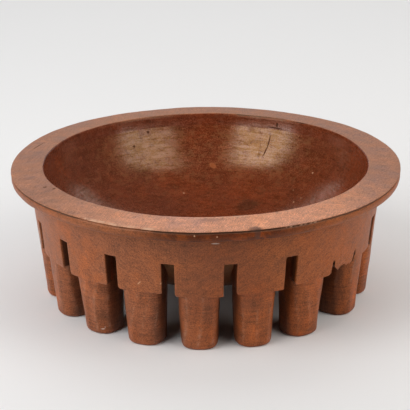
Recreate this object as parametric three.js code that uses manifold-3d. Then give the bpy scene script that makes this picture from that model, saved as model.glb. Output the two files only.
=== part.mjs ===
// Kava bowl: a round dish with a broad flat rim, standing on a ring of eighteen round legs behind a slotted skirt.
// The bowl is carved from one log of hardwood. Its forms are the rim, the bowl, the skirt and the legs.
// Millimetres, +Z up, the floor at z = 0, and the axis of the dish on Z.
// The front is -Y. Angles are in degrees about Z from the front, positive towards +X.

import * as THREE from "three";
import { mergeVertices } from "three/addons/utils/BufferGeometryUtils.js";
import Module from "manifold-3d";

const wasm = await Module();
wasm.setup();

// Driving dimensions of the rim
const overallHeight = 153; // the floor to the inner edge of the rim, which is its highest line
const rimDiameter = 450;
const rimWidth = 37; // across the flat top
const rimFall = 2; // the top slopes down this much to the outer edge
const rimSideHeight = 12.5; // the side band, from the outer edge to the underside
const rimSideLean = 2; // the side band leans in this much by its lower edge
const rimOverhang = 21.6; // the outer edge stands out this far past the top of the skirt
const rimEdgeRadius = 2;

// Driving dimensions of the bowl
const dishDepth = 106;
const dishWallLean = 10; // how far the wall leans in on its first, steep stretch
const dishWallDrop = 69; // the height of that stretch
const dishFloorReach = 118; // the radius out to which the floor of the dish runs nearly level
const bowlFloorThickness = 22;
const undercutDepth = 26; // the underside leaves the skirt this far below the rim
const undercutLean = 14; // how far the underside leans in on its first, steep stretch
const undercutDrop = 48; // the height of that stretch
const undercutFloorReach = 118; // the radius out to which the underside runs nearly level

// Driving dimensions of the skirt
const skirtHeight = 73.5;
const skirtThickness = 13;
const skirtBatter = 5.7; // degrees that the skirt and the legs lean in towards the floor
const slotWidth = 15;
const slotHeight = 38;
const slotOffset = 0.3; // degrees that a slot lies past the middle between its two legs

// Driving dimensions of the legs
const legCount = 18;
const footDiameter = 40;
const legFlare = 5; // the leg is this much thicker at the lower edge of the skirt than at the foot
const footEdgeRadius = 3;
const wideGapAngle = 48.6; // the middle of the one wide space between two legs
const wideGapSpan = 24.6; // degrees between the two legs on either side of it
const spacingDrift = 1.6; // degrees: the legs were spaced by eye, and drift this far round the back

// Driving dimensions of the broken edge of the skirt. Places along it are from the middle of the wide space.
const breakStart = -17;
const firstTip = -5.7;
const middleNotch = 4;
const secondTip = 9.5;
const secondTipWidth = 7.5;
const breakEnd = 23.5;
const crackWidth = 2.5; // of the narrow crack at either end
const crackHeight = 20; // heights are above the lower edge of the skirt
const notchHeight = 8.6;
const tipHeight = 4;

// Fits and fineness
const gap = 0.3; // between curved forms that meet
const overcut = 20; // how far a cutting shape runs past what it cuts
const roundSteps = 80; // faces round the rim, the bowl and the skirt
const legSteps = 20; // faces round a leg
const curvePoints = 11; // along each wall of the bowl
const edgePoints = 3; // round a small edge
const mergeDistance = 1e-4;
const fullTurn = 360;

// Heights and radii that follow from them
const rimRadius = rimDiameter / 2;
const mouthRadius = rimRadius - rimWidth;
const rimEdgeHeight = overallHeight - rimFall;
const rimUnderside = rimEdgeHeight - rimSideHeight;
const skirtBottom = rimUnderside - skirtHeight;
const batterSlope = Math.tan(THREE.MathUtils.degToRad(skirtBatter));
const dishFloor = overallHeight - dishDepth;
const bowlUnderside = dishFloor - bowlFloorThickness;
const undercutTop = rimUnderside - undercutDepth;

// The outer face of the skirt and the legs is one cone, and the inner face of the skirt another.
function outerRadius(height) {
  return rimRadius - rimOverhang - batterSlope * (rimUnderside - height);
}

function innerRadius(height) {
  return outerRadius(height) - skirtThickness;
}

function point(radius, height) {
  return new THREE.Vector2(radius, height);
}

// A solid of revolution about Z. The profile is given as radius and height, anticlockwise from the axis or closed.
function turned(profile, steps = roundSteps) {
  return new THREE.LatheGeometry(profile, steps).rotateX(Math.PI / 2);
}

// A geometry as a solid that can be cut and joined.
function solid(geometry) {
  const bare = geometry.clone();
  bare.deleteAttribute("normal");
  bare.deleteAttribute("uv");
  const merged = mergeVertices(bare, mergeDistance);
  return new wasm.Manifold(
    new wasm.Mesh({
      numProp: 3,
      vertProperties: merged.attributes.position.array,
      triVerts: new Uint32Array(merged.index.array),
    }),
  );
}

// A cut solid as a geometry again.
function geometryOf(cut) {
  const mesh = cut.getMesh();
  const geometry = new THREE.BufferGeometry();
  geometry.setAttribute("position", new THREE.BufferAttribute(mesh.vertProperties, 3));
  geometry.setIndex(new THREE.BufferAttribute(mesh.triVerts, 1));
  geometry.computeVertexNormals();
  return geometry;
}

function part(name, geometry, color, roughness) {
  const mesh = new THREE.Mesh(geometry, new THREE.MeshStandardMaterial({ color, roughness, metalness: 0 }));
  mesh.name = name;
  return mesh;
}

// The wall of the dish, from its floor on the axis up to the inner edge of the rim.
function dishWall() {
  const curve = new THREE.CubicBezierCurve(
    point(0, dishFloor),
    point(dishFloorReach, dishFloor),
    point(mouthRadius - dishWallLean, overallHeight - dishWallDrop),
    point(mouthRadius, overallHeight),
  );
  return curve.getPoints(curvePoints);
}

// The hollow of the dish, run on above the rim so that it cuts a clean mouth.
function dishHollow() {
  return solid(turned([
    ...dishWall(),
    point(mouthRadius, overallHeight + overcut),
    point(0, overallHeight + overcut),
  ]));
}

// The underside of the bowl from the axis out to the skirt, moved down and outwards by a clearance.
function underside(clearance) {
  const edge = innerRadius(undercutTop) - gap;
  const curve = new THREE.CubicBezierCurve(
    point(0, bowlUnderside),
    point(undercutFloorReach, bowlUnderside),
    point(edge - undercutLean, undercutTop - undercutDrop),
    point(edge, undercutTop),
  );
  return curve.getPoints(curvePoints).map((p) => point(p.x * (1 + clearance / edge), p.y - clearance));
}

// The broad flat ring round the mouth, with a rounded outer edge and a side band that leans in.
function rimGeometry() {
  const top = point(rimRadius - rimEdgeRadius, rimEdgeHeight);
  const side = point(rimRadius, rimEdgeHeight - rimEdgeRadius);
  const edge = new THREE.QuadraticBezierCurve(side, point(rimRadius, rimEdgeHeight), top);
  const blank = solid(turned([
    point(0, rimUnderside),
    point(rimRadius - rimSideLean, rimUnderside),
    ...edge.getPoints(edgePoints),
    point(mouthRadius, overallHeight),
    point(0, overallHeight),
  ]));
  return geometryOf(blank.subtract(dishHollow()));
}

// The dish itself, under the rim and inside the skirt.
function bowlGeometry() {
  const blank = solid(turned([
    ...underside(0),
    point(innerRadius(rimUnderside) - gap, rimUnderside),
    point(0, rimUnderside),
  ]));
  return geometryOf(blank.subtract(dishHollow()));
}

// The angle of each leg, counted round from the far side of the wide space.
function legAngle(index) {
  const pitch = (fullTurn - wideGapSpan) / (legCount - 1);
  const drift = spacingDrift * Math.sin(Math.PI * index / (legCount - 1));
  return wideGapAngle + wideGapSpan / 2 + pitch * index + drift;
}

function turnedAbout(geometry, angle) {
  return geometry.rotateZ(THREE.MathUtils.degToRad(angle));
}

// A slot is square-cornered and open at the lower edge of the skirt.
function slotCutter(angle) {
  const top = skirtBottom + slotHeight;
  const depth = skirtThickness + 2 * overcut;
  const middle = (outerRadius(skirtBottom) + innerRadius(skirtBottom)) / 2;
  const block = new THREE.BoxGeometry(slotWidth, depth, slotHeight + overcut);
  block.translate(0, -middle, top - (slotHeight + overcut) / 2);
  return solid(turnedAbout(block, angle));
}

// Where the skirt broke away in the wide space: a crack at each end and two splintered tips between them.
function breakCutter() {
  const tips = skirtBottom + tipHeight;
  const notches = skirtBottom + notchHeight;
  const cracks = skirtBottom + crackHeight;
  const outline = new THREE.Shape([
    point(breakStart, skirtBottom - overcut),
    point(breakEnd, skirtBottom - overcut),
    point(breakEnd, tips),
    point(breakEnd - crackWidth / 2, cracks),
    point(breakEnd - crackWidth, notches),
    point(secondTip + secondTipWidth, tips),
    point(secondTip, tips),
    point(middleNotch, notches),
    point(firstTip, tips),
    point(breakStart + crackWidth, notches),
    point(breakStart + crackWidth / 2, cracks),
    point(breakStart, notches),
  ]);
  const nearSide = innerRadius(skirtBottom) - overcut;
  const farSide = outerRadius(rimUnderside) + overcut;
  const block = new THREE.ExtrudeGeometry(outline, { depth: farSide - nearSide, bevelEnabled: false });
  block.rotateX(Math.PI / 2).translate(0, -nearSide, 0);
  return solid(turnedAbout(block, wideGapAngle));
}

// The skirt hangs from the rim as a leaning ring, cut into tabs by the slots.
function skirtGeometry() {
  const ring = [
    point(innerRadius(skirtBottom), skirtBottom),
    point(outerRadius(skirtBottom), skirtBottom),
    point(outerRadius(rimUnderside), rimUnderside),
    point(innerRadius(rimUnderside), rimUnderside),
    point(innerRadius(skirtBottom), skirtBottom),
  ];
  let skirt = solid(turned(ring)).subtract(breakCutter());
  for (let index = 0; index < legCount - 1; index++) {
    const middle = (legAngle(index) + legAngle(index + 1)) / 2;
    skirt = skirt.subtract(slotCutter(middle + slotOffset));
  }
  return geometryOf(skirt);
}

// The room that a leg may fill: inside the skirt and out past its lower edge, less the bowl and a clearance.
function legRoom() {
  const ledge = skirtBottom - gap;
  const reach = rimRadius + overcut;
  const ceiling = undercutTop + overcut;
  const insideSkirt = solid(turned([
    point(0, -overcut),
    point(reach, -overcut),
    point(reach, ledge),
    point(innerRadius(ledge) - gap, ledge),
    point(innerRadius(undercutTop) - gap, undercutTop),
    point(0, undercutTop),
  ]));
  const swollenBowl = solid(turned([
    ...underside(gap),
    point(reach, undercutTop - gap),
    point(reach, ceiling),
    point(0, ceiling),
  ]));
  return insideSkirt.subtract(swollenBowl);
}

// One leg at the front: a round column that swells upwards, whose outer line lies on the skirt's cone.
// It stands on a flat foot with a rounded edge, and runs up behind its tab to the underside of the bowl.
function legGeometry() {
  const footRadius = footDiameter / 2;
  const flareSlope = legFlare / 2 / skirtBottom;
  const top = undercutTop + overcut;
  const foot = new THREE.QuadraticBezierCurve(
    point(footRadius - footEdgeRadius, 0),
    point(footRadius, 0),
    point(footRadius + flareSlope * footEdgeRadius, footEdgeRadius),
  );
  const column = turned([
    point(0, 0),
    ...foot.getPoints(edgePoints),
    point(footRadius + flareSlope * top, top),
    point(0, top),
  ], legSteps);
  // The middle of the leg moves outwards with height, by what the cone gains less what the radius does.
  const lean = batterSlope - flareSlope;
  column.applyMatrix4(new THREE.Matrix4().makeShear(0, 0, 0, 0, 0, -lean));
  column.translate(0, footRadius - outerRadius(0), 0);
  return geometryOf(solid(column).intersect(legRoom()));
}

const kavaBowl = new THREE.Group();
kavaBowl.add(part("rim", rimGeometry(), 0xa8705a, 0.42));
kavaBowl.add(part("bowl", bowlGeometry(), 0x7c4630, 0.3));
kavaBowl.add(part("skirt", skirtGeometry(), 0x8a5039, 0.5));

const oneLeg = legGeometry();
const legs = new THREE.Group();
for (let index = 0; index < legCount; index++) {
  const name = "leg_" + String(index + 1).padStart(2, "0");
  const leg = part(name, oneLeg, 0x7f4831, 0.5);
  leg.rotation.z = THREE.MathUtils.degToRad(legAngle(index));
  legs.add(leg);
}
kavaBowl.add(legs);

export default kavaBowl;
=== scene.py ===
import math

import bmesh
import bpy
from bpy.props import FloatProperty, FloatVectorProperty, IntProperty, PointerProperty
from mathutils import Matrix, Vector, noise


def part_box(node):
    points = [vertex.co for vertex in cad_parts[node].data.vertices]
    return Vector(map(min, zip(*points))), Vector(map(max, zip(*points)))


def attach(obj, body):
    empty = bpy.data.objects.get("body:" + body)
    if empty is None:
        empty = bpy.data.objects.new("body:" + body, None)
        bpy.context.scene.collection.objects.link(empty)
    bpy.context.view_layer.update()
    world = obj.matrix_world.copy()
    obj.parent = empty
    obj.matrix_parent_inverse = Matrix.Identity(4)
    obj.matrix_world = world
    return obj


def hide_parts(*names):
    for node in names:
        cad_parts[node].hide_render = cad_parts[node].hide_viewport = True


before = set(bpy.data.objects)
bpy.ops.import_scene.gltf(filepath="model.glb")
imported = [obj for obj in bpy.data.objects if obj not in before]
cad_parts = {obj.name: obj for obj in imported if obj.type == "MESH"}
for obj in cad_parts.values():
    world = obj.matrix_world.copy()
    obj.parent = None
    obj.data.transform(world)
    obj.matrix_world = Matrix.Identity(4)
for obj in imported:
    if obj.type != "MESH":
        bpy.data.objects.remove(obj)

bl_info = {
    "name": "Kava Bowl",
    "version": (1, 0, 0),
    "blender": (4, 5, 0),
    "location": "View3D > Sidebar > Kava Bowl",
    "description": "Carves a kava bowl with a broad rim, a slotted skirt and a ring of round legs",
    "category": "Object",
}

# The front of the bowl is -Y and +X is its right. Angles are in degrees about Z from the front, positive to
# the right.
MM = 0.001
FULL_TURN = 2 * math.pi
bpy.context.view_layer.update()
HAND_SEED = 3  # of the noise behind the hand work, which would otherwise change from run to run

RIM_LOW, RIM_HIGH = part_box("rim")
SKIRT_LOW, SKIRT_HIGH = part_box("skirt")
BOWL_LOW, BOWL_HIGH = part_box("bowl")
LEG_NODES = sorted(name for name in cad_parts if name.startswith("leg_"))

HALVINGS = 40  # in the search for a height on the dish wall

# Sizes that the frame's boxes don't give
MOUTH_RADIUS = 188 * MM
RIM_FALL = 2 * MM
BATTER = math.radians(5.7)
DISH_FLOOR = 47 * MM
DISH_FLOOR_REACH = 118 * MM
DISH_WALL_LEAN = 10 * MM
DISH_WALL_DROP = 69 * MM
UNDERCUT_TOP = 112.5 * MM
UNDERCUT_REACH = 118 * MM
UNDERCUT_LEAN = 14 * MM
UNDERCUT_DROP = 48 * MM
SKIRT_THICKNESS = 13 * MM
SLOT_TOP = 103 * MM
LEDGE_HEIGHT = 66 * MM
LEDGE_STEP = MM / 50

SEAM_HEIGHT = RIM_LOW[2]
RIM_RADIUS = RIM_HIGH[0]
RIM_TOP = RIM_HIGH[2]
SKIRT_TOP_RADIUS = SKIRT_HIGH[0]
SKIRT_BOTTOM = SKIRT_LOW[2]

# The front, each by the number of its leg: how far a slot lies past the middle between its leg and the next
# one and how much wider it is on its right, in degrees, the height of its top, and the heights of the two
# lower corners of a tab, in millimetres
SLOT_DRIFT = {13: 0.1, 14: 1.0, 15: 0.4, 16: 0.2}
SLOT_DRIFT_USUAL = 0.3
SLOT_WIDER = {1: 1.1}
SLOT_TOPS = {13: 102.6, 14: 104.3, 15: 103.2, 16: 103.5, 17: 104.7, 1: 105.0}
SLOT_TOP_USUAL = 102.5
TAB_CORNERS = {
    13: (66.5, 67), 14: (64.5, 66.6), 15: (66, 66.9), 16: (65, 65), 17: (66.7, 66), 18: (68.5, 68.5),
    1: (69, 70),
}
TAB_CORNER_USUAL = 65.5

# The broken edge in the wide space, from the leg on its left to the crack on its right: degrees and
# millimetres of height
BREAK_EDGE = [
    (38.5, 68.7), (40.6, 67.3), (42.5, 67.2), (43.5, 68.8), (43.7, 75), (43.85, 81), (44.1, 85),
    (44.6, 82), (45.1, 75.9), (46.0, 72), (46.9, 69.1), (48.0, 71.9), (49.8, 73.6), (51.4, 69.8),
    (52.3, 71.2), (53.2, 69.9), (54.4, 71.5), (55.1, 76), (55.9, 84.6), (56.2, 77), (56.5, 68),
]
BREAK_START, BREAK_END = BREAK_EDGE[0][0], BREAK_EDGE[-1][0]
STEEP_SHARE = 0.3  # of the fine columns of the break, how far the steep stretches draw them in
TAB_HALF_ANGLE = 7.7  # half of what a tab spans, in degrees

# Stretches of the rim's edges, in degrees: outside, the one with a painted highlight and the grooved one,
# whose line gets painted shade; inside, the one with a painted highlight and the dark one
BRIGHT_ARRIS = (-36, -14)
GROOVE = (-92, 84)
BRIGHT_LIP = (-3, 13)
DARK_LIP = (138, 168)
BEADS = (19.0, 32.5, 1.5)  # the small beads in the line under the rim's edge: from, to and pitch in degrees
# Rounding of the two lower corners of a tab
CORNER_LEFT = 2.6 * MM
CORNER_RIGHT = 0.8 * MM
SLOT_REACH = (5, 2.5)  # degrees from the middle of a slot within which its own top shows
COLUMN_REACH = 3  # degrees from the edge of a slot within which the columns of faces move with it
FOOT_POWER = 2.45  # the superellipse power of a leg's section at the floor
# How far, in millimetres to the left and right of a leg's outermost line, its tab runs down into it without
# an edge
FLUSH_REACH = {1: (15.5, 8)}
FLUSH_REACH_USUAL = (8, 8)


def cone_radius(height):
    """The outer face of the skirt and of the legs."""
    return SKIRT_TOP_RADIUS - math.tan(BATTER) * (SEAM_HEIGHT - height)


def at_angle(degrees, radius, height):
    """The point at an angle, a distance from the axis and a height."""
    turn = math.radians(degrees)
    return Vector((radius * math.sin(turn), -radius * math.cos(turn), height))


def angle_of(point):
    return math.degrees(math.atan2(point.x, -point.y))


def radius_of(point):
    return math.hypot(point.x, point.y)


def angle_between(a, b):
    """How far angle a lies past angle b, from -180 to 180."""
    return (a - b + 180) % 360 - 180


def smooth_step(low, high, value):
    share = min(max((value - low) / (high - low), 0), 1)
    return share * share * (3 - 2 * share)


def stretch(angle, first, last):
    """1 inside a stretch of angles, falling to 0 over 2 degrees at its ends."""
    return smooth_step(first - 1, first + 1, angle) * smooth_step(last + 1, last - 1, angle)


def bezier(start, first, second, end, share):
    """The point of a curve at a share of its way from start to end."""
    rest = 1 - share
    return tuple(
        rest**3 * a + 3 * rest**2 * share * b + 3 * rest * share**2 * c + share**3 * d
        for a, b, c, d in zip(start, first, second, end)
    )


def foot_angle(name):
    """The angle of a leg, from the middle of its flat foot in the frame."""
    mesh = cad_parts[name].data
    foot = [v.co for v in mesh.vertices if v.co.z < MM / 10]
    return angle_of(sum(foot, Vector()) / len(foot))


LEG_ANGLES = [foot_angle(name) for name in LEG_NODES]


def dish_point(share):
    """A point of the dish wall as radius and height, from its floor at 0 to the mouth at 1."""
    return bezier(
        (0, DISH_FLOOR),
        (DISH_FLOOR_REACH, DISH_FLOOR),
        (MOUTH_RADIUS - DISH_WALL_LEAN, RIM_TOP - DISH_WALL_DROP),
        (MOUTH_RADIUS, RIM_TOP),
        share,
    )


def dish_share(height):
    """The share of the way up the dish wall at which it reaches a height."""
    low, high = 0.0, 1.0
    for _ in range(HALVINGS):
        middle = (low + high) / 2
        if dish_point(middle)[1] < height:
            low = middle
        else:
            high = middle
    return low


def underside_point(share):
    """A point of the underside as radius and height, from the axis at 0 to the skirt at 1."""
    edge = cone_radius(UNDERCUT_TOP) - SKIRT_THICKNESS
    return bezier(
        (0, BOWL_LOW[2]),
        (UNDERCUT_REACH, BOWL_LOW[2]),
        (edge - UNDERCUT_LEAN, UNDERCUT_TOP - UNDERCUT_DROP),
        (edge, UNDERCUT_TOP),
        share,
    )


UNDERSIDE_STEPS = 60
UNDERSIDE = [underside_point(step / UNDERSIDE_STEPS) for step in range(UNDERSIDE_STEPS + 1)]


def underside_height(radius):
    """The height of the underside at a distance from the axis."""
    for (r0, h0), (r1, h1) in zip(UNDERSIDE, UNDERSIDE[1:]):
        if radius <= r1:
            return h0 + (h1 - h0) * (radius - r0) / (r1 - r0)
    return UNDERSIDE[-1][1]


# Sizes and colours that a user would change


class RimSettings(bpy.types.PropertyGroup):
    edge_radius: FloatProperty(
        name="Edge radius", description="Rounding of the inner edge", default=1.4 * MM, unit="LENGTH"
    )
    groove_depth: FloatProperty(
        name="Groove depth", description="Depth of the line under the outer edge",
        default=1.3 * MM, unit="LENGTH",
    )
    bead_height: FloatProperty(
        name="Bead height", description="How far the small beads in the line stand out",
        default=0.9 * MM, unit="LENGTH",
    )
    steps: IntProperty(name="Steps", description="Faces round the rim", default=720)


class BowlSettings(bpy.types.PropertyGroup):
    rows: IntProperty(name="Rows", description="Rows of faces up the wall of the dish", default=44)
    steps: IntProperty(name="Steps", description="Faces round the bowl", default=360)


class SkirtSettings(bpy.types.PropertyGroup):
    slot_width: FloatProperty(
        name="Slot width", description="Width of each slot, in degrees", default=4.15
    )
    edge_wear: FloatProperty(
        name="Edge wear", description="Rounding of the cut edges", default=0.45 * MM, unit="LENGTH"
    )
    row_height: FloatProperty(
        name="Row height", description="Height of a row of faces", default=2 * MM, unit="LENGTH"
    )
    columns: IntProperty(name="Columns", description="Faces round the skirt", default=720)
    break_cuts: IntProperty(
        name="Break cuts", description="Finer columns in each column of the break", default=4
    )


class LegSettings(bpy.types.PropertyGroup):
    foot_radius: FloatProperty(
        name="Foot radius", description="Radius of a leg at the floor", default=19.7 * MM, unit="LENGTH"
    )
    flare: FloatProperty(
        name="Flare", description="How much wider a leg is at the skirt than at the floor",
        default=2.5 * MM, unit="LENGTH",
    )
    flats: FloatProperty(
        name="Flats", description="How strongly the flats left by the knife show", default=0.5
    )
    squareness: FloatProperty(
        name="Squareness", description="Superellipse power of the section behind the skirt", default=2.9
    )
    sides: IntProperty(name="Sides", description="Faces round a leg", default=72)


class WoodSettings(bpy.types.PropertyGroup):
    outside: FloatVectorProperty(
        name="Outside", description="The skirt and the legs", subtype="COLOR", default=(0.31, 0.088, 0.028)
    )
    dish: FloatVectorProperty(
        name="Dish", description="The polished inside", subtype="COLOR", default=(0.152, 0.030, 0.010)
    )
    band: FloatVectorProperty(
        name="Band", description="The stained side of the rim", subtype="COLOR", default=(0.105, 0.015, 0.002)
    )
    band_patches: FloatVectorProperty(
        name="Band patches", description="Less stained places of that side",
        subtype="COLOR", default=(0.18, 0.033, 0.004),
    )
    rim_top: FloatVectorProperty(
        name="Rim top", description="The dry flat of the rim", subtype="COLOR", default=(0.315, 0.133, 0.075)
    )
    # the rim is paler towards its front
    rim_front: FloatVectorProperty(
        name="Rim front", description="The most worn part of the rim",
        subtype="COLOR", default=(0.55, 0.245, 0.146),
    )
    # pale of edge wear and of painted highlights on edges
    pale: FloatVectorProperty(
        name="Pale", description="Worn edges", subtype="COLOR", default=(0.60, 0.34, 0.22)
    )
    # dark of grime and of painted shade in corners, slots and recesses
    dirt_and_shade: FloatVectorProperty(
        name="Dirt", description="Corners, slots and stains", subtype="COLOR", default=(0.030, 0.010, 0.006)
    )
    contrast: FloatProperty(name="Contrast", description="How strongly the grain shows", default=0.9)


# The lamps: name, place in metres, the way each faces as a turn from +Y to +X, a tilt down and a roll in
# degrees, width and height, radiance, colour, and whether it shows in glossy surfaces
SOFTBOXES = [
    ("Left softbox", (-1.01, -0.60, 1.32), (27, 8, 7), (1.14, 2.0), 3.3, (1, 1, 1), True),
    ("Right softbox", (1.05, -0.47, 1.37), (-17, 15, -6), (1.2, 2.0), 2.2, (1, 0.97, 0.93), True),
    ("Left side panel", (-2.0, 0.35, 0.95), (80, 18, 0), (2.2, 1.5), 1.15, (1, 1, 1), False),
    ("Right side panel", (2.0, 0.35, 0.95), (-80, 18, 0), (2.2, 1.5), 1.1, (1, 0.97, 0.93), False),
    ("Back panel", (0, 2.2, 1.0), (180, 20, 0), (4.0, 1.4), 0.8, (1, 1, 1), True),
    ("Top panel", (0, 1.2, 2.2), (0, 90, 0), (3.0, 2.0), 1.0, (1, 1, 1), False),
]
ROOM_COLOR = (0.95, 0.95, 0.97, 1)
PALE_WALL = (0.80, 0.80, 0.80, 1)
FLOOR_SIZE = 12
FLOOR_CLOUD_COLOR = (0.72, 0.71, 0.70, 1)
FLOOR_CLOUD_SHARE = 0.06
FLOOR_ROUGHNESS = 0.85
HAZE_CENTRE = (0, 0.45, 0)
SENSOR_WIDTH = 36


class StageSettings(bpy.types.PropertyGroup):
    room_light: FloatProperty(
        name="Room light", description="Strength of the light from all round", default=0.06
    )
    camera_distance: FloatProperty(
        name="Camera distance", description="From the camera to the middle of the rim",
        default=1.607, unit="LENGTH",
    )
    camera_height_angle: FloatProperty(
        name="Camera height angle", description="Angle of the camera above the rim",
        default=math.radians(18.51), subtype="ANGLE",
    )
    camera_pitch: FloatProperty(
        name="Camera pitch", description="How far the camera looks down",
        default=math.radians(20.33), subtype="ANGLE",
    )
    camera_turn: FloatProperty(
        name="Camera turn", description="How far the camera looks to the left of the middle",
        default=math.radians(0.045), subtype="ANGLE",
    )
    camera_roll: FloatProperty(
        name="Camera roll", description="Turn of the picture", default=math.radians(-0.4), subtype="ANGLE"
    )
    lens: FloatProperty(name="Lens", description="Focal length in millimetres", default=121.3)
    floor_color: FloatVectorProperty(
        name="Floor", description="Colour of the floor", subtype="COLOR", default=(0.855, 0.852, 0.853)
    )


SETTINGS = {
    "kava_rim": RimSettings,
    "kava_bowl": BowlSettings,
    "kava_skirt": SkirtSettings,
    "kava_legs": LegSettings,
    "kava_wood": WoodSettings,
    "kava_stage": StageSettings,
}


# Modelling by hand


def deselect_all():
    bpy.ops.object.select_all(action="DESELECT")


def name_piece(name):
    """Names the object that was just made, and its mesh."""
    piece = bpy.context.object
    piece.name = name
    piece.data.name = name
    return piece


def activate(piece):
    deselect_all()
    piece.select_set(True)
    bpy.context.view_layer.objects.active = piece


def apply_modifiers(piece):
    activate(piece)
    for modifier in list(piece.modifiers):
        bpy.ops.object.modifier_apply(modifier=modifier.name)


def draw_profile(points, closed):
    """Draws a profile in the plane of X and Z by extruding one vertex from point to point."""
    deselect_all()
    bpy.ops.mesh.primitive_plane_add(size=MM)
    bpy.ops.object.mode_set(mode="EDIT")
    bpy.ops.mesh.select_all(action="SELECT")
    bpy.ops.mesh.merge(type="CENTER")
    bpy.ops.transform.translate(value=(points[0][0], 0, points[0][1]))
    for (r0, h0), (r1, h1) in zip(points, points[1:]):
        bpy.ops.mesh.extrude_region_move(TRANSFORM_OT_translate={"value": (r1 - r0, 0, h1 - h0)})
    if closed:
        sheet = bmesh.from_edit_mesh(bpy.context.object.data)
        for vertex in sheet.verts:
            vertex.select_set(len(vertex.link_edges) == 1)
        sheet.select_flush_mode()
        bpy.ops.mesh.edge_face_add()


def spin_profile(steps):
    """Spins the profile being edited once about Z, and closes the seam and the poles."""
    bpy.ops.mesh.select_all(action="SELECT")
    bpy.ops.mesh.spin(
        steps=steps, angle=FULL_TURN, center=(0, 0, 0), axis=(0, 0, 1), use_auto_merge=False
    )
    bpy.ops.mesh.select_all(action="SELECT")
    bpy.ops.mesh.remove_doubles(threshold=MM / 100)
    bpy.ops.mesh.normals_make_consistent(inside=False)
    bpy.ops.object.mode_set(mode="OBJECT")


# The unevenness of the hand work, in three sizes: how many waves there are in a metre, how far they move
# the surface in millimetres, what share of that the smooth dish is spared, and where in the noise they
# start
HAND_WAVES = [
    (7, 1.1, 0.0, Vector((3.1, 7.7, 1.3))),
    (24, 0.45, 0.75, Vector((9.2, 0.4, 5.9))),
    (75, 0.16, 0.75, Vector((2.8, 4.6, 8.1))),
]
# The radii and the heights between which the wood goes from rough to the smooth dish
SMOOTH_RADII = (192 * MM, 180 * MM)
SMOOTH_HEIGHTS = (56 * MM, 70 * MM)
LEVEL_FEET = 90 * MM  # below this height the hand work lifts the surface less and less


def hand_field(point):
    """How far the hand work moves a point. It is the same for every piece, so joints stay shut."""
    inside = smooth_step(*SMOOTH_RADII, radius_of(point)) * smooth_step(*SMOOTH_HEIGHTS, point.z)
    move = Vector()
    for waves, reach, spared, start in HAND_WAVES:
        move += noise.noise_vector(point * waves + start) * reach * MM * (1 - spared * inside)
    move.z *= smooth_step(0, LEVEL_FEET, point.z)
    return move


def carve_by_hand(piece):
    """Moves every vertex by the hand field."""
    noise.seed_set(HAND_SEED)
    for vertex in piece.data.vertices:
        vertex.co += hand_field(vertex.co)


TINY = 1e-7  # an edge shorter than this gives no direction
WEAR_BENDS = (0.10, 0.45)  # from a hardly bent surface to an edge
SMOOTH_ANGLE = math.radians(40)


def mark_wear_and_shade(piece, hidden):
    """Stores how pale each edge goes, as wear and painted highlight, and how dark each hollow goes, as grime
    and painted shade, from how the surface bends there, unless it is hidden.
    """
    shape = bmesh.new()
    shape.from_mesh(piece.data)
    shape.normal_update()
    bends = []
    for vertex in shape.verts:
        total = 0.0
        for edge in vertex.link_edges:
            away = edge.other_vert(vertex).co - vertex.co
            if away.length > TINY:
                total += vertex.normal.dot(away / away.length)
        bends.append(0 if hidden(vertex.co) else -total / max(len(vertex.link_edges), 1))
    shape.free()
    worn = piece.data.attributes.new("wear_and_highlight", "FLOAT", "POINT")
    dirt_and_shade_mask = piece.data.attributes.new("dirt_and_shade_corner", "FLOAT", "POINT")
    worn.data.foreach_set("value", [smooth_step(*WEAR_BENDS, bend) for bend in bends])
    dirt_and_shade_mask.data.foreach_set("value", [smooth_step(*WEAR_BENDS, -bend) for bend in bends])


def finish_piece(piece, nodes, material):
    """Gives a piece its shading, its material and its place in the frame."""
    activate(piece)
    bpy.ops.object.shade_smooth_by_angle(angle=SMOOTH_ANGLE)
    piece.data.materials.clear()
    piece.data.materials.append(material)
    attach(piece, "root")
    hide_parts(*nodes)


# The wood

# The noises: how often each repeats in a metre, in every direction or along X, Y and Z, then its detail,
# roughness and distortion. The length of the log lies along X.
NOISES = {
    "wander": ((5, 11, 11), 2.0, 0.5, 0.0),
    "fibres": ((48, 420, 420), 3.0, 0.62, 0.0),
    "fine fibres": ((120, 1000, 1000), 2.0, 0.6, 0.0),
    "streaks": ((30, 130, 130), 3.0, 0.6, 0.3),
    "rings": ((6, 26, 26), 2.0, 0.55, 0.0),
    "pores": ((260, 1500, 1500), 1.0, 0.5, 0.0),
    "blotches": (62.0, 4.0, 0.62, 0.5),
    "drift": (13.0, 3.0, 0.55, 0.4),
    "speckle": (800.0, 2.0, 0.7, 0.0),
    "top lines": ((70, 640, 640), 3.0, 0.65, 0.0),
    "hatch": ((110, 110, 760), 3.0, 0.65, 0.0),
    "across": ((34, 34, 560), 3.0, 0.6, 0.0),
    "flute_shade": ((150, 150, 14), 2.0, 0.55, 0.0),
    "round": (1.0, 3.0, 0.6, 0.0),
    "scratches": ((34, 620, 620), 2.0, 0.6, 0.0),
    "spot edge": (420.0, 3.0, 0.55, 0.0),
    "worn": (130.0, 3.0, 0.55, 0.0),
    "scuffs": (105.0, 6.0, 0.75, 0.0),
    "floor cloud": (1.6, 2.0, 0.55, 0.0),
}

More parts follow.
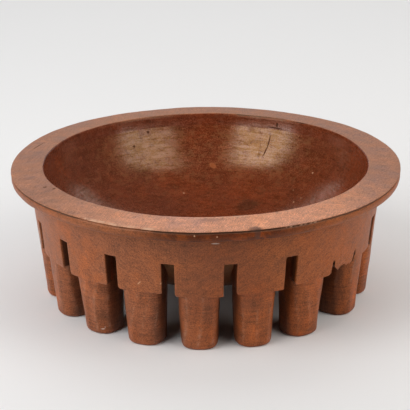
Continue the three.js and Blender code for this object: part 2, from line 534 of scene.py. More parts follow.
# Between which values an effect grows from nothing to its full strength: of a pattern, or of a place in
# metres
LIMITS = {
    "rings": (0.40, 0.68),
    "pores": (0.66, 0.76),
    "scratches": (0.66, 0.76),
    "spot": (1.15, 0.55),
    "dish": (MOUTH_RADIUS + 1.2 * MM, MOUTH_RADIUS + 0.2 * MM),
    "faces up": (0.45, 0.85),
    "rim top": (RIM_TOP - 7 * MM, RIM_TOP - 5 * MM),
    "above seam": (SEAM_HEIGHT - 1 * MM, SEAM_HEIGHT + 1 * MM),
    "band": (0.6, 0.2),
    "low": (0.05, 0.0),
    "under front": (0.13, 0.04),
    "band patches": (0.46, 0.60),
    # the height over which painted shade under the top's outer edge grows on the band
    "stain_and_shade": (RIM_TOP - 7 * MM, RIM_TOP - 3 * MM),
    "rim front": (0.24, 0.05),
    # from the painted grey sheen on the left to the painted warm light on the right
    "left to right": (-0.10, 0.12),
    "warm": (0.50, 0.66),
    "cool": (0.50, 0.36),
    "worn": (0.35, 0.65),
    "scuffs": (0.46, 0.66),
    "fine scuffs": (0.52, 0.68),
    "dried": (0.0, -0.10),
    "gloss": (0.43, 0.57),
    "below lip": (RIM_TOP - 2 * MM, RIM_TOP - 5 * MM),
    "haze": (1.25, 2.0),
}

# Tints as factors of red, green and blue, and how strongly each is laid over the colour
TINTS = {
    "band": ((0.90, 0.88, 0.90), 1.0),
    # painted shade under the outer edge of the top, on the front of the band
    "stain_and_shade": ((0.62, 0.50, 0.40), 1.0),
    # left: cooler, a painted grey sheen of the left lamp; right: warmer, painted warm light of the right lamp
    # and warmer wood
    "left": ((0.96, 1.05, 1.26), 1.0),
    "right": ((1.03, 0.96, 0.76), 1.0),
    "low": ((1.0, 0.88, 0.72), 0.35),
    "legs": ((0.92, 0.91, 0.95), 1.0),
    "warm": ((1.16, 1.00, 0.72), 1.0),
    "cool": ((0.85, 0.92, 1.10), 0.9),
    "pores": ((1.5, 1.6, 1.7), 0.30),
    "scratches": ((1.4, 1.5, 1.6), 0.18),
}

WANDER_REACH = 0.030  # metres that the grain strays
# How the log, the lines on the rim and the scratches are turned about Z, in radians
LOG_TURN = 0.22
TOP_LINES_TURN = -1.2
SCRATCHES_TURN = -0.9
# The growth rings: a point of the pith, how they are drawn out along the log, and how close they lie
PITH = (0.0, 0.02, -0.30)
RING_DRAW = (0.05, 1.0, 1.0)
RING_RATE = 1150.0
FIBRE_SHARES = (0.6, 0.4)  # of the fibres and of the fine fibres

# Where the marks of the scraper turn from leaning left to leaning right, and their slope
HATCH_MIDDLE = -0.02
HATCH_SLOPE = 0.75
# The marks round the dish: how short they are, and how close they lie up its wall
ROUND_STREAKS = 9
ROUND_LINES = 330.0

SPOT_RAGGED = 0.5  # how far the noise eats into the edge of a spot

FACES_IN = 0.05  # how much more a face of the dish looks up than outwards, at least
BELOW_DISH_FLOOR = 4 * MM  # how far down a face still counts as dish, and not as underside

# The middle of the stained stretch of the band, with painted shade under the top's edge, and of the paler rim
# front
UNDER_FRONT = (0.02, -0.225, 0.145)
RIM_FRONT = (0.035, -0.21, 0.152)

# How much each pattern lightens and darkens the wood
RINGS_TONE = 0.05
GRAIN_TONE = {"Fibres": 0.8, "Streaks": 0.5, "Blotches": 0.6, "Speckle": 2.6}
LEG_GRAIN_TONE = {**GRAIN_TONE, "Blotches": 1.1}
# vertical stripes on the legs: painted light and shade of narrow knife flats
FLUTE_SHADE_TONE = 1.0
LINES_TONE = 1.2
LEAST_TONE = 0.3
# How the colour drifts: the shares of the slow drift and of the blotches, and how strongly it goes warm
MOOD_SHARES = (0.65, 0.35)
WARM_SHARE = 0.9
WARM_LESS_ON_RIM = 0.5
# How strongly edges go pale, as wear and painted highlight, and corners go dark, as grime and painted shade
WEAR_AND_HIGHLIGHT_SHARE = 0.6
DIRT_AND_SHADE_SHARE = 0.75

# The roughness of the plain wood, and what adds to it or takes from it
ROUGHNESS = 0.47
BLOTCHES_ROUGHER = 0.20
FIBRES_ROUGHER = 0.22
RIM_TOP_ROUGHER = 0.05
DISH_SMOOTHER = 0.33
SCUFFS_ROUGHER = 0.34
DRIED_ROUGHER = 0.16
PITS_ROUGHER = 0.6
# The relief of the surface
FIBRES_RELIEF = 0.6
LINES_RELIEF = 0.8
PORES_RELIEF = -0.25
SPECKLE_RELIEF = 0.6
DISH_FLATTER = 0.45
BUMP_STRENGTH = 0.5
BUMP_HEIGHT = 0.5 * MM
# The polish of the dish: what the speckle, the marks round it and the blotches count where it is rubbed off,
# how dull it has dried at the front, and its own roughness and index of refraction
RUBBED_SHARES = (0.45, 0.35, 0.20)
DRIED_DULLER = 0.8
POLISH_ROUGHNESS = 0.20
POLISH_IOR = 1.5


def opaque(color):
    return (*color, 1)


class Wiring:
    """Adds nodes to a tree and joins them."""

    def __init__(self, tree):
        self.tree = tree

    def add(self, kind, inputs=None, **values):
        node = self.tree.nodes.new(kind)
        for key, value in values.items():
            setattr(node, key, value)
        for key, value in (inputs or {}).items():
            self.feed(node.inputs[key], value)
        return node

    def feed(self, socket, value):
        if isinstance(value, bpy.types.NodeSocket):
            self.tree.links.new(value, socket)
        else:
            socket.default_value = value

    def math(self, operation, *values, clamp=False):
        node = self.add("ShaderNodeMath", operation=operation, use_clamp=clamp)
        for socket, value in zip(node.inputs, values):
            self.feed(socket, value)
        return node.outputs["Value"]

    def plus(self, first, *others, clamp=False):
        for other in others:
            first = self.math("ADD", first, other, clamp=clamp)
        return first

    def minus(self, first, second, clamp=False):
        return self.math("SUBTRACT", first, second, clamp=clamp)

    def times(self, first, *others):
        for other in others:
            first = self.math("MULTIPLY", first, other)
        return first

    def weighed(self, patterns, shares):
        """The sum of patterns, each times its share."""
        return self.plus(*[self.times(pattern, share) for pattern, share in zip(patterns, shares)])

    def less(self, value, share):
        """What is left of 1 when a share of a value is taken off."""
        return self.minus(1.0, self.times(value, share))

    def centred(self, pattern):
        return self.minus(pattern, 0.5)

    def vector(self, operation, *values):
        node = self.add("ShaderNodeVectorMath", operation=operation)
        for socket, value in zip(node.inputs, values):
            self.feed(socket, value)
        gives_number = operation in {"LENGTH", "DISTANCE", "DOT_PRODUCT"}
        return node.outputs["Value" if gives_number else "Vector"]

    def mix(self, factor, first, second, blend="MIX"):
        inputs = {"Factor": factor, "A": first, "B": second}
        return self.add("ShaderNodeMix", inputs, data_type="RGBA", blend_type=blend).outputs["Result"]

    def tint(self, color, name):
        return self.mix(1.0, color, opaque(TINTS[name][0]), "MULTIPLY")

    def lay_tint(self, color, name, mask):
        """Lays a tint over a colour by a mask."""
        return self.mix(self.times(mask, TINTS[name][1]), color, self.tint(color, name))

    def range(self, value, low, high):
        inputs = {"Value": value, "From Min": low, "From Max": high}
        return self.add("ShaderNodeMapRange", inputs, interpolation_type="SMOOTHSTEP").outputs["Result"]

    def grow(self, value, name):
        """0 to 1 between the limits of that name."""
        return self.range(value, *LIMITS[name])

    def noise(self, place, name, output="Fac"):
        repeats, detail, roughness, distortion = NOISES[name]
        if isinstance(repeats, tuple):
            place, repeats = self.vector("MULTIPLY", place, repeats), 1.0
        inputs = {
            "Vector": place, "Scale": repeats, "Detail": detail, "Roughness": roughness,
            "Distortion": distortion,
        }
        return self.add("ShaderNodeTexNoise", inputs).outputs[output]

    def turned(self, place, angle):
        """Turns a place about Z, for a grain that runs along the turned X axis."""
        return self.add("ShaderNodeMapping", {"Vector": place, "Rotation": (0, 0, angle)}).outputs["Vector"]

    def place(self):
        return self.add("ShaderNodeTexCoord").outputs["Object"]

    def parts(self, vector):
        return self.add("ShaderNodeSeparateXYZ", {"Vector": vector}).outputs

    def joined(self, x, y, z):
        return self.add("ShaderNodeCombineXYZ", {"X": x, "Y": y, "Z": z}).outputs["Vector"]

    def flat(self, place):
        """A place without its height."""
        return self.vector("MULTIPLY", place, (1, 1, 0))


def new_group(name, outputs, inputs=()):
    """Starts a shader node group with named sockets, and gives the wiring of its tree."""
    group = bpy.data.node_groups.new(name, "ShaderNodeTree")
    for label, default in inputs:
        socket = group.interface.new_socket(label, in_out="INPUT", socket_type="NodeSocketVector")
        socket.default_value = default
    for label in outputs:
        group.interface.new_socket(label, in_out="OUTPUT", socket_type="NodeSocketFloat")
    return Wiring(group)


def log_grain_group():
    """The grain of the log: fibres, streaks, blotches, growth rings and pores."""
    w = new_group(
        "Log Grain",
        ("Fibres", "Streaks", "Blotches", "Drift", "Rings", "Pores", "Speckle", "Top Lines"),
    )
    place = w.place()
    wander = w.vector("SUBTRACT", w.noise(place, "wander", "Color"), (0.5, 0.5, 0.5))
    bent = w.vector("ADD", place, w.vector("MULTIPLY", wander, (WANDER_REACH, WANDER_REACH, WANDER_REACH)))
    log = w.turned(bent, LOG_TURN)
    from_pith = w.vector("LENGTH", w.vector("MULTIPLY", w.vector("SUBTRACT", log, PITH), RING_DRAW))
    rings = w.math("SINE", w.times(from_pith, RING_RATE))
    w.add("NodeGroupOutput", {
        "Fibres": w.weighed((w.noise(log, "fibres"), w.noise(log, "fine fibres")), FIBRE_SHARES),
        "Streaks": w.noise(log, "streaks"),
        "Blotches": w.noise(place, "blotches"),
        "Drift": w.noise(place, "drift"),
        "Rings": w.times(rings, w.grow(w.noise(log, "rings"), "rings")),
        "Pores": w.grow(w.noise(place, "pores"), "pores"),
        "Speckle": w.noise(place, "speckle"),
        "Top Lines": w.noise(w.turned(bent, TOP_LINES_TURN), "top lines"),
    })


def tool_marks_group():
    """Fine marks of the scraper: up towards the sides on the outside, round the dish on the inside; and
    vertical stripes on the legs that paint the light and shade of narrow knife flats.
    """
    w = new_group("Tool Marks", ("Hatch", "Across", "Flute_Shade", "Round", "Scratches"))
    place = w.place()
    across, towards_back, height = w.parts(place)
    radius = w.math("MAXIMUM", w.vector("LENGTH", w.flat(place)), MM)
    around = w.vector("DIVIDE", w.flat(place), w.joined(radius, radius, 1.0))
    lean = w.times(w.math("ABSOLUTE", w.minus(across, HATCH_MIDDLE)), HATCH_SLOPE)
    leaning = w.joined(across, towards_back, w.minus(height, lean))
    up_wall = w.times(w.plus(radius, height), ROUND_LINES)
    round_dish = w.vector(
        "ADD", w.vector("MULTIPLY", around, (ROUND_STREAKS, ROUND_STREAKS, 0)), w.joined(0.0, 0.0, up_wall)
    )
    w.add("NodeGroupOutput", {
        "Hatch": w.noise(leaning, "hatch"),
        "Across": w.noise(place, "across"),
        "Flute_Shade": w.noise(place, "flute_shade"),
        "Round": w.noise(round_dish, "round"),
        "Scratches": w.grow(w.noise(w.turned(place, SCRATCHES_TURN), "scratches"), "scratches"),
    })


def spot_group():
    """A ragged spot round a place on the bowl: one of the stains, nicks and cracks, or a painted shade,
    shadow or highlight.
    """
    w = new_group(
        "Spot", ("Mask",), (("Centre", (0, 0, 0)), ("Turn", (0, 0, 0)), ("Half Size", (0.01, 0.01, 0.01)))
    )
    given = w.add("NodeGroupInput").outputs
    place = w.place()
    inputs = {
        "Vector": place, "Location": given["Centre"], "Rotation": given["Turn"], "Scale": given["Half Size"],
    }
    reach = w.vector("LENGTH", w.add("ShaderNodeMapping", inputs, vector_type="TEXTURE").outputs["Vector"])
    ragged = w.times(w.centred(w.noise(place, "spot edge")), SPOT_RAGGED)
    w.add("NodeGroupOutput", {"Mask": w.grow(w.plus(reach, ragged), "spot")})


def zones_group():
    """The parts of the bowl that use has coloured, and the depth of a place below the outer skin."""
    w = new_group("Use Zones", ("Dish", "Rim Top", "Band", "Below", "Depth", "Low"))
    place = w.place()
    height = w.parts(place)["Z"]
    radius = w.vector("LENGTH", w.flat(place))
    normal = w.add("ShaderNodeNewGeometry").outputs["Normal"]
    upness = w.parts(normal)["Z"]
    outward = w.vector("DOT_PRODUCT", w.vector("NORMALIZE", w.flat(place)), normal)
    faces_in = w.math("GREATER_THAN", w.minus(upness, outward), FACES_IN)
    above = w.math("GREATER_THAN", height, DISH_FLOOR - BELOW_DISH_FLOOR)
    dish = w.times(w.grow(radius, "dish"), faces_in, above)
    top = w.times(w.grow(upness, "faces up"), w.grow(height, "rim top"))
    rim_top = w.times(top, w.minus(1.0, dish))
    high = w.grow(height, "above seam")
    skin = w.plus(w.times(height, math.tan(BATTER)), cone_radius(0))
    w.add("NodeGroupOutput", {
        "Dish": dish,
        "Rim Top": rim_top,
        "Band": w.times(high, w.grow(w.plus(rim_top, dish), "band")),
        "Below": w.times(w.minus(1.0, high), w.minus(1.0, dish)),
        "Depth": w.minus(skin, radius),
        "Low": w.grow(height, "low"),
    })


GROUP_MAKERS = {
    "Log Grain": log_grain_group,
    "Tool Marks": tool_marks_group,
    "Spot": spot_group,
    "Use Zones": zones_group,
}


def wood_group(name):
    """A shared node group, built when it is first asked for."""
    if name not in bpy.data.node_groups:
        GROUP_MAKERS[name]()
    return bpy.data.node_groups[name]


# Spots, each with its kind, centre, half sizes and, where it is turned, its turn: metres and radians
SPOTS = [
    # two broad painted shades on the front of the skirt: under the rim, and over the front tabs
    ("soft", (0.012, -0.203, 0.126), (0.055, 0.030, 0.026)),
    ("soft", (0.020, -0.195, 0.075), (0.060, 0.040, 0.045)),
    ("smear_and_shadow", (0.052, 0.093, 0.063), (0.016, 0.014, 0.012)),
    # painted shadow of the break on the top of the leg behind it
    ("smear_and_shadow", (0.141, -0.122, 0.063), (0.015, 0.022, 0.013), (0, 0, 0.8)),
    # painted shadow on the left side of that leg
    ("smear_and_shadow", (0.132, -0.097, 0.052), (0.010, 0.016, 0.026)),
    # painted shadow in the gaps of the two cracks beside the break
    ("crack_and_shadow", (0.1578, -0.1056, 0.0765), (0.0034, 0.012, 0.0110), (0, 0.12, 0.980)),
    ("crack_and_shadow", (0.1378, -0.1382, 0.0790), (0.0010, 0.006, 0.0055), (0, -0.02, 0.785)),
    ("dark", (0.0809, 0.1603, 0.1233), (0.0010, 0.007, 0.0095), (-0.40, 0.10, -0.48)),
    ("dark", (0.0760, 0.1558, 0.1113), (0.0010, 0.007, 0.0085), (-0.55, 0.25, -0.48)),
    ("dark", (0.0883, 0.1632, 0.1404), (0.0125, 0.006, 0.0010), (0, 0, -0.496)),
    ("dark", (0.0914, 0.1628, 0.1445), (0.0018, 0.005, 0.0032), (0, 0, -0.51)),
    ("crack_and_shadow", (-0.2004, 0.0601, 0.1515), (0.017, 0.0007, 0.003), (0, 0, 1.16)),
    ("dark", (-0.1771, -0.0910, 0.152), (0.0028, 0.0018, 0.004), (0, 0, 0.6)),
    ("dark", (-0.1665, -0.0977, 0.152), (0.0026, 0.0018, 0.004), (0, 0, 0.6)),
    ("stain_and_shade", (0.050, -0.219, 0.151), (0.009, 0.006, 0.003)),
    ("stain_and_shade", (0.0525, -0.220, 0.146), (0.0036, 0.006, 0.008)),
    ("grey", (0.006, -0.196, 0.152), (0.016, 0.005, 0.004)),
    ("grey", (-0.202, 0.071, 0.151), (0.008, 0.004, 0.004)),
    ("grey", (-0.1835, 0.000, 0.152), (0.008, 0.003, 0.004), (0, 0, 0.7)),
    ("grey", (-0.172, -0.104, 0.152), (0.008, 0.004, 0.004), (0, 0, 0.8)),
    ("grey", (-0.197, -0.058, 0.151), (0.009, 0.006, 0.004), (0, 0, 0.4)),
    # a pale line under the front of the rim: a small chip with a painted highlight along it
    ("pale", (0.0095, -0.202, 0.129), (0.0048, 0.003, 0.0007)),
    ("nick", (0.108, 0.074, 0.072), (0.0013, 0.0013, 0.0013)),
    ("nick", (0.109, 0.095, 0.080), (0.0011, 0.0011, 0.0011)),
    ("nick", (0.133, 0.100, 0.101), (0.0013, 0.0013, 0.0013)),
    ("nick", (0.117, 0.075, 0.077), (0.0010, 0.0010, 0.0010)),
    ("nick", (-0.028, 0.120, 0.068), (0.0014, 0.0014, 0.0014)),
    ("fleck", (0.009, 0.158, 0.092), (0.0055, 0.0060, 0.0034), (0, 0.5, 0)),
    ("nick", (0.154, -0.124, 0.152), (0.002, 0.0014, 0.002)),
    ("nick", (-0.012, -0.224, 0.146), (0.0010, 0.002, 0.0010)),
    ("nick", (0.011, -0.224, 0.145), (0.0010, 0.002, 0.0010)),
    ("pale", (-0.1160, -0.1510, 0.0070), (0.0028, 0.006, 0.0011), (0, 0, -0.655)),
    ("pale", (-0.1145, -0.1520, 0.0090), (0.0010, 0.006, 0.0021), (0, 0, -0.655)),
    ("pale", (0.0685, -0.1756, 0.0070), (0.0006, 0.003, 0.0026), (0, 0, 0.372)),
    # this and the next: painted highlights along the outer edges of the two end slots
    ("pale", (-0.1880, -0.0575, 0.0860), (0.0009, 0.004, 0.0150), (0, 0, -1.274)),
    ("nick", (0.1893, -0.0508, 0.0880), (0.0008, 0.004, 0.0130), (0, 0, 1.31)),
    ("nick", (-0.0708, -0.1820, 0.0773), (0.0034, 0.003, 0.0010), (0, -0.8, -0.371)),
    ("nick", (-0.0479, -0.1895, 0.0796), (0.0009, 0.003, 0.0016), (0, 0, -0.248)),
    ("dark", (-0.074, 0.169, 0.134), (0.002, 0.002, 0.002)),
    ("dark", (-0.091, 0.153, 0.120), (0.002, 0.002, 0.002)),
]

# How each kind of spot looks: its colour and how much of the wood it covers
SPOT_LOOKS = {
    # painted shade
    "soft": ((0.13, 0.036, 0.020, 1), 0.30),
    # smears, and painted shadow below the break
    "smear_and_shadow": ((0.040, 0.014, 0.006, 1), 0.50),
    "dark": ((0.030, 0.010, 0.006, 1), 0.75),
    # cracks, and painted shadow in the gaps beside the break
    "crack_and_shadow": ((0.006, 0.003, 0.002, 1), 0.97),
    "stain_and_shade": ((0.065, 0.030, 0.026, 1), 0.70),
    "grey": ((0.16, 0.075, 0.06, 1), 0.45),
    # pale and nick: chips and nicks, and painted highlights along a few edges
    "pale": ((0.75, 0.60, 0.50, 1), 0.9),
    "nick": ((0.62, 0.34, 0.19, 1), 0.75),
    "fleck": ((0.36, 0.10, 0.035, 1), 0.75),
}
PIT_KINDS = {"crack_and_shadow", "dark"}  # these take the polish off

# The finish of each material: its index of refraction, the tint of its sheen, the weight of the polish in the
# dish, the depths below the skin in millimetres between which painted shade darkens it, and how dark that
# goes
FINISHES = {
    "Rim wood": (1.5, (1.0, 0.70, 0.45, 1), 1.0, (3, 11), 0.55),
    "Dish wood": (1.76, (1.0, 0.60, 0.24, 1), 1.0, (3, 11), 0.55),
    "Skirt wood": (1.42, (1.0, 0.85, 0.70, 1), 0.0, (0.6, 3.2), 0.80),
    "Leg wood": (1.42, (1.0, 0.85, 0.70, 1), 0.0, (5, 16), 0.55),
}


class WoodWiring(Wiring):
    """The wiring of one wood material, with the patterns, zones and place that its steps share."""

    def __init__(self, tree, name, wood):
        super().__init__(tree)
        self.wood = wood
        self.on_legs = name == "Leg wood"
        self.grain = self.add_group("Log Grain").outputs
        self.marks = self.add_group("Tool Marks").outputs
        self.zones = self.add_group("Use Zones").outputs
        self.here = self.place()
        self.across, self.towards_back, self.height = self.parts(self.here)
        self.pits = 0.0

    def add_group(self, name):
        return self.add("ShaderNodeGroup", node_tree=wood_group(name))

    def use_color(self):
        """The colour that oil, staining and hands have given to each part of the bowl, with painted shade
        under the front of the outer edge, a painted grey sheen on the left, and painted warm light and warmer
        wood on the right.
        """
        wood, zones = self.wood, self.zones
        outside = opaque(wood.outside)
        color = self.mix(zones["Dish"], outside, opaque(wood.dish))
        under_front = self.grow(self.vector("DISTANCE", self.here, UNDER_FRONT), "under front")
        patchy = self.grow(self.grain["Blotches"], "band patches")
        patches = self.mix(patchy, opaque(wood.band), opaque(wood.band_patches))
        band = self.mix(under_front, self.tint(outside, "band"), patches)
        # painted shade under the outer edge of the top, on the front stretch of the band
        band = self.lay_tint(band, "stain_and_shade", self.times(self.grow(self.height, "stain_and_shade"), under_front))
        color = self.mix(zones["Band"], color, band)
        # cooler on the left for a painted grey sheen, warmer on the right for painted warm light and warmer
        # wood
        to_right = self.grow(self.across, "left to right")
        color = self.mix(to_right, self.tint(color, "left"), self.tint(color, "right"))
        color = self.lay_tint(color, "low", zones["Low"])
        # paler towards the front of the rim
        front = self.grow(self.vector("DISTANCE", self.here, RIM_FRONT), "rim front")
        rim_top = self.mix(front, opaque(wood.rim_top), opaque(wood.rim_front))
        color = self.mix(zones["Rim Top"], color, rim_top)
        return self.tint(color, "legs") if self.on_legs else color

    def scraped_lines(self):
        """The marks of the scraper as they run on each part of the bowl."""
        outside = self.marks["Across" if self.on_legs else "Hatch"]
        lines = self.mix(self.zones["Dish"], outside, self.marks["Round"])
        return self.mix(self.zones["Rim Top"], lines, self.grain["Top Lines"])

    def add_tone(self, color, lines):
        """Lightens and darkens the colour by the grain and the marks of the scraper, and on the legs by
        vertical stripes of painted light and shade for narrow knife flats.
        """
        shares = LEG_GRAIN_TONE if self.on_legs else GRAIN_TONE
        patterns = [(self.grain[name], share) for name, share in shares.items()]
        if self.on_legs:
            patterns.append((self.marks["Flute_Shade"], FLUTE_SHADE_TONE))
        patterns.append((lines, LINES_TONE))
        tone = self.times(self.grain["Rings"], RINGS_TONE)
        for pattern, share in patterns:
            tone = self.plus(tone, self.times(self.centred(pattern), share))
        gain = self.math("MAXIMUM", self.plus(1.0, self.times(tone, self.wood.contrast)), LEAST_TONE)
        return self.mix(1.0, color, self.joined(gain, gain, gain), "MULTIPLY")

    def add_moods(self, color):
        """Drifts the colour to warm and cool, and lightens it in the pores and scratches."""
        mood = self.weighed((self.grain["Drift"], self.grain["Blotches"]), MOOD_SHARES)
        warm_share = self.minus(WARM_SHARE, self.times(self.zones["Rim Top"], WARM_LESS_ON_RIM))
        color = self.lay_tint(color, "warm", self.times(self.grow(mood, "warm"), warm_share))
        color = self.lay_tint(color, "cool", self.grow(mood, "cool"))
        color = self.lay_tint(color, "pores", self.grain["Pores"])
        return self.lay_tint(color, "scratches", self.marks["Scratches"])

    def add_wear(self, color, shade_depths, shade_share):
        """Pales the edges, as wear and painted highlight, darkens the corners, as grime and painted shade,
        and paints shade on what lies behind the skin.
        """
        pale, dirt_and_shade = opaque(self.wood.pale), opaque(self.wood.dirt_and_shade)
        patchy = self.grow(self.noise(self.here, "worn"), "worn")
        worn = self.add("ShaderNodeAttribute", attribute_name="wear_and_highlight").outputs["Fac"]
        dirt_and_shade_mask = self.add("ShaderNodeAttribute", attribute_name="dirt_and_shade_corner").outputs["Fac"]
        color = self.mix(self.times(worn, patchy, WEAR_AND_HIGHLIGHT_SHARE), color, pale)
        color = self.mix(self.times(dirt_and_shade_mask, DIRT_AND_SHADE_SHARE), color, dirt_and_shade)
        # painted shade, growing with depth behind the outer face: slot walls, the broken face, the inner face
        # of the skirt, the backs of the legs and the underside
        depth = self.range(self.zones["Depth"], shade_depths[0] * MM, shade_depths[1] * MM)
        return self.mix(self.times(depth, self.zones["Below"], shade_share), color, dirt_and_shade)

    def add_spots(self, color):
        """Lays the spots over the colour, painted shade, shadows and highlights among them, and keeps where
        the cracks and pits are.
        """
        for kind, centre, half_size, *turn in SPOTS:
            spot = self.add_group("Spot")
            spot.inputs["Centre"].default_value = centre
            spot.inputs["Half Size"].default_value = half_size
            if turn:
                spot.inputs["Turn"].default_value = turn[0]
            shade, strength = SPOT_LOOKS[kind]
            color = self.mix(self.times(spot.outputs["Mask"], strength), color, shade)
            if kind in PIT_KINDS:
                self.pits = self.math("MAXIMUM", self.pits, spot.outputs["Mask"])
        return color

    def dried(self):
        """The front of the dish, which drink has left dull."""
        return self.times(self.grow(self.towards_back, "dried"), self.zones["Dish"])

    def roughness(self):
        grain, zones = self.grain, self.zones
        rough = self.plus(
            ROUGHNESS,
            self.times(self.centred(grain["Blotches"]), BLOTCHES_ROUGHER),
            self.times(self.centred(grain["Fibres"]), FIBRES_ROUGHER),
            self.times(zones["Rim Top"], RIM_TOP_ROUGHER),
        )
        coarse = self.grow(self.noise(self.here, "scuffs"), "scuffs")
        scuffs = self.plus(coarse, self.grow(grain["Speckle"], "fine scuffs"))
        smooth = self.minus(DISH_SMOOTHER, self.times(scuffs, SCUFFS_ROUGHER))
        rough = self.minus(rough, self.times(zones["Dish"], smooth))
        rough = self.plus(rough, self.times(self.dried(), DRIED_ROUGHER))
        return self.plus(rough, self.times(self.pits, PITS_ROUGHER), clamp=True)

    def relief(self, lines):
        """The normal of the surface with its fibres, marks and pores."""
        grain = self.grain
        height = self.weighed(
            (grain["Fibres"], lines, grain["Pores"], grain["Speckle"]),
            (FIBRES_RELIEF, LINES_RELIEF, PORES_RELIEF, SPECKLE_RELIEF),
        )
        height = self.times(height, self.less(self.zones["Dish"], DISH_FLATTER))
        inputs = {"Height": height, "Strength": BUMP_STRENGTH, "Distance": BUMP_HEIGHT}
        return self.add("ShaderNodeBump", inputs).outputs["Normal"]

    def polish(self, weight):
        """How strongly the polish of the dish shows, rubbed off here and there."""
        patterns = self.grain["Speckle"], self.marks["Round"], self.grain["Blotches"]
        rubbed = self.weighed(patterns, RUBBED_SHARES)
        whole = self.minus(self.zones["Dish"], self.pits, clamp=True)
        gloss = self.times(self.grow(rubbed, "gloss"), whole, self.less(self.dried(), DRIED_DULLER))
        return self.times(gloss, weight, self.grow(self.height, "below lip"))


def wood_material(name, wood):
    """Oiled reddish hardwood, with the colour that use has given to each part of the bowl, and painted light
    and shade in places.
    """
    ior, sheen, polish, shade_depths, shade_share = FINISHES[name]
    material = bpy.data.materials.new(name)
    material.use_nodes = True
    material.node_tree.nodes.clear()
    w = WoodWiring(material.node_tree, name, wood)
    lines = w.scraped_lines()
    color = w.add_moods(w.add_tone(w.use_color(), lines))
    color = w.add_spots(w.add_wear(color, shade_depths, shade_share))
    inputs = {
        "Base Color": color, "Roughness": w.roughness(), "Normal": w.relief(lines), "IOR": ior,
        "Specular Tint": sheen, "Coat Weight": w.polish(polish), "Coat Roughness": POLISH_ROUGHNESS,
        "Coat IOR": POLISH_IOR,
    }
    shader = w.add("ShaderNodeBsdfPrincipled", inputs)
    w.add("ShaderNodeOutputMaterial", {"Surface": shader.outputs["BSDF"]})
    return material


# The pieces


# The profile of the rim: steps up its inner wall, round its inner edge and across its top
WALL_STEPS = 5
EDGE_STEPS = 4
TOP_STEPS = 9
TOP_END = 1.5 * MM
# Its side, in millimetres: how far each corner lies in from the radius of the rim and below the outer edge
# of its top, first above the line, then below it; for the line itself, only how far below, and for the two
# corners where it fades, the share of its depth and how far below
ARRIS_CORNERS = [(0.6, 0.2), (0.15, 0.7), (0.3, 1.0)]
LINE_INSET = 0.3
LINE_DROPS = [1.3, 1.8, 2.5, 3.0]
LINE_FADE = [(0.6, 3.8), (0.5, 4.6)]
BAND_CORNERS = [(0.4, 6), (0.4, 8), (0.9, 10), (1.8, 11.5), (3.0, 12.3)]
# Its underside: how far in from the radius of the rim, or out from that of the skirt, and how far above the
# seam
OVERHANG_CORNERS = [(5.0, 0.1), (12.0, 0.4)]
SEAT_CORNERS = [(3, 0.2), (-2, 0)]

# The beads in the line: how far below the outer edge they lie, half their height and how deep they start
BEAD_DROP = 2.15 * MM
BEAD_HALF = 0.5 * MM
BEAD_DEPTH = 3 * MM
# Parts of the side, as how far each reaches in from the radius of the rim and down from the outer edge of
# its top
ARRIS_PART = (1.7 * MM, 1.1 * MM)
LINE_PART = (2.5 * MM, 3.1 * MM)
BEAD_PART = (1.3 * MM, 1.5 * MM)
# The inner lip, as how far it reaches out from the mouth and down from the top, and the dark line on it
LIP_PART = (1.5 * MM, 1.6 * MM)
DARK_LINE_DROPS = (1.0 * MM, 0.3 * MM)
DARK_LINE_WAVES = 90
# How strongly the stretches of the edges are marked: painted highlights on the outer edge, beads and inner
# lip
ARRIS_HIGHLIGHT = 2.4
BEAD_HIGHLIGHT = 2
LIP_HIGHLIGHT = 1.6
ARRIS_COVER = 0.85  # of the line's painted shade, taken away where the painted highlight of the edge lies over it
DARK_LINE_SHARES = (0.8, 1.2)


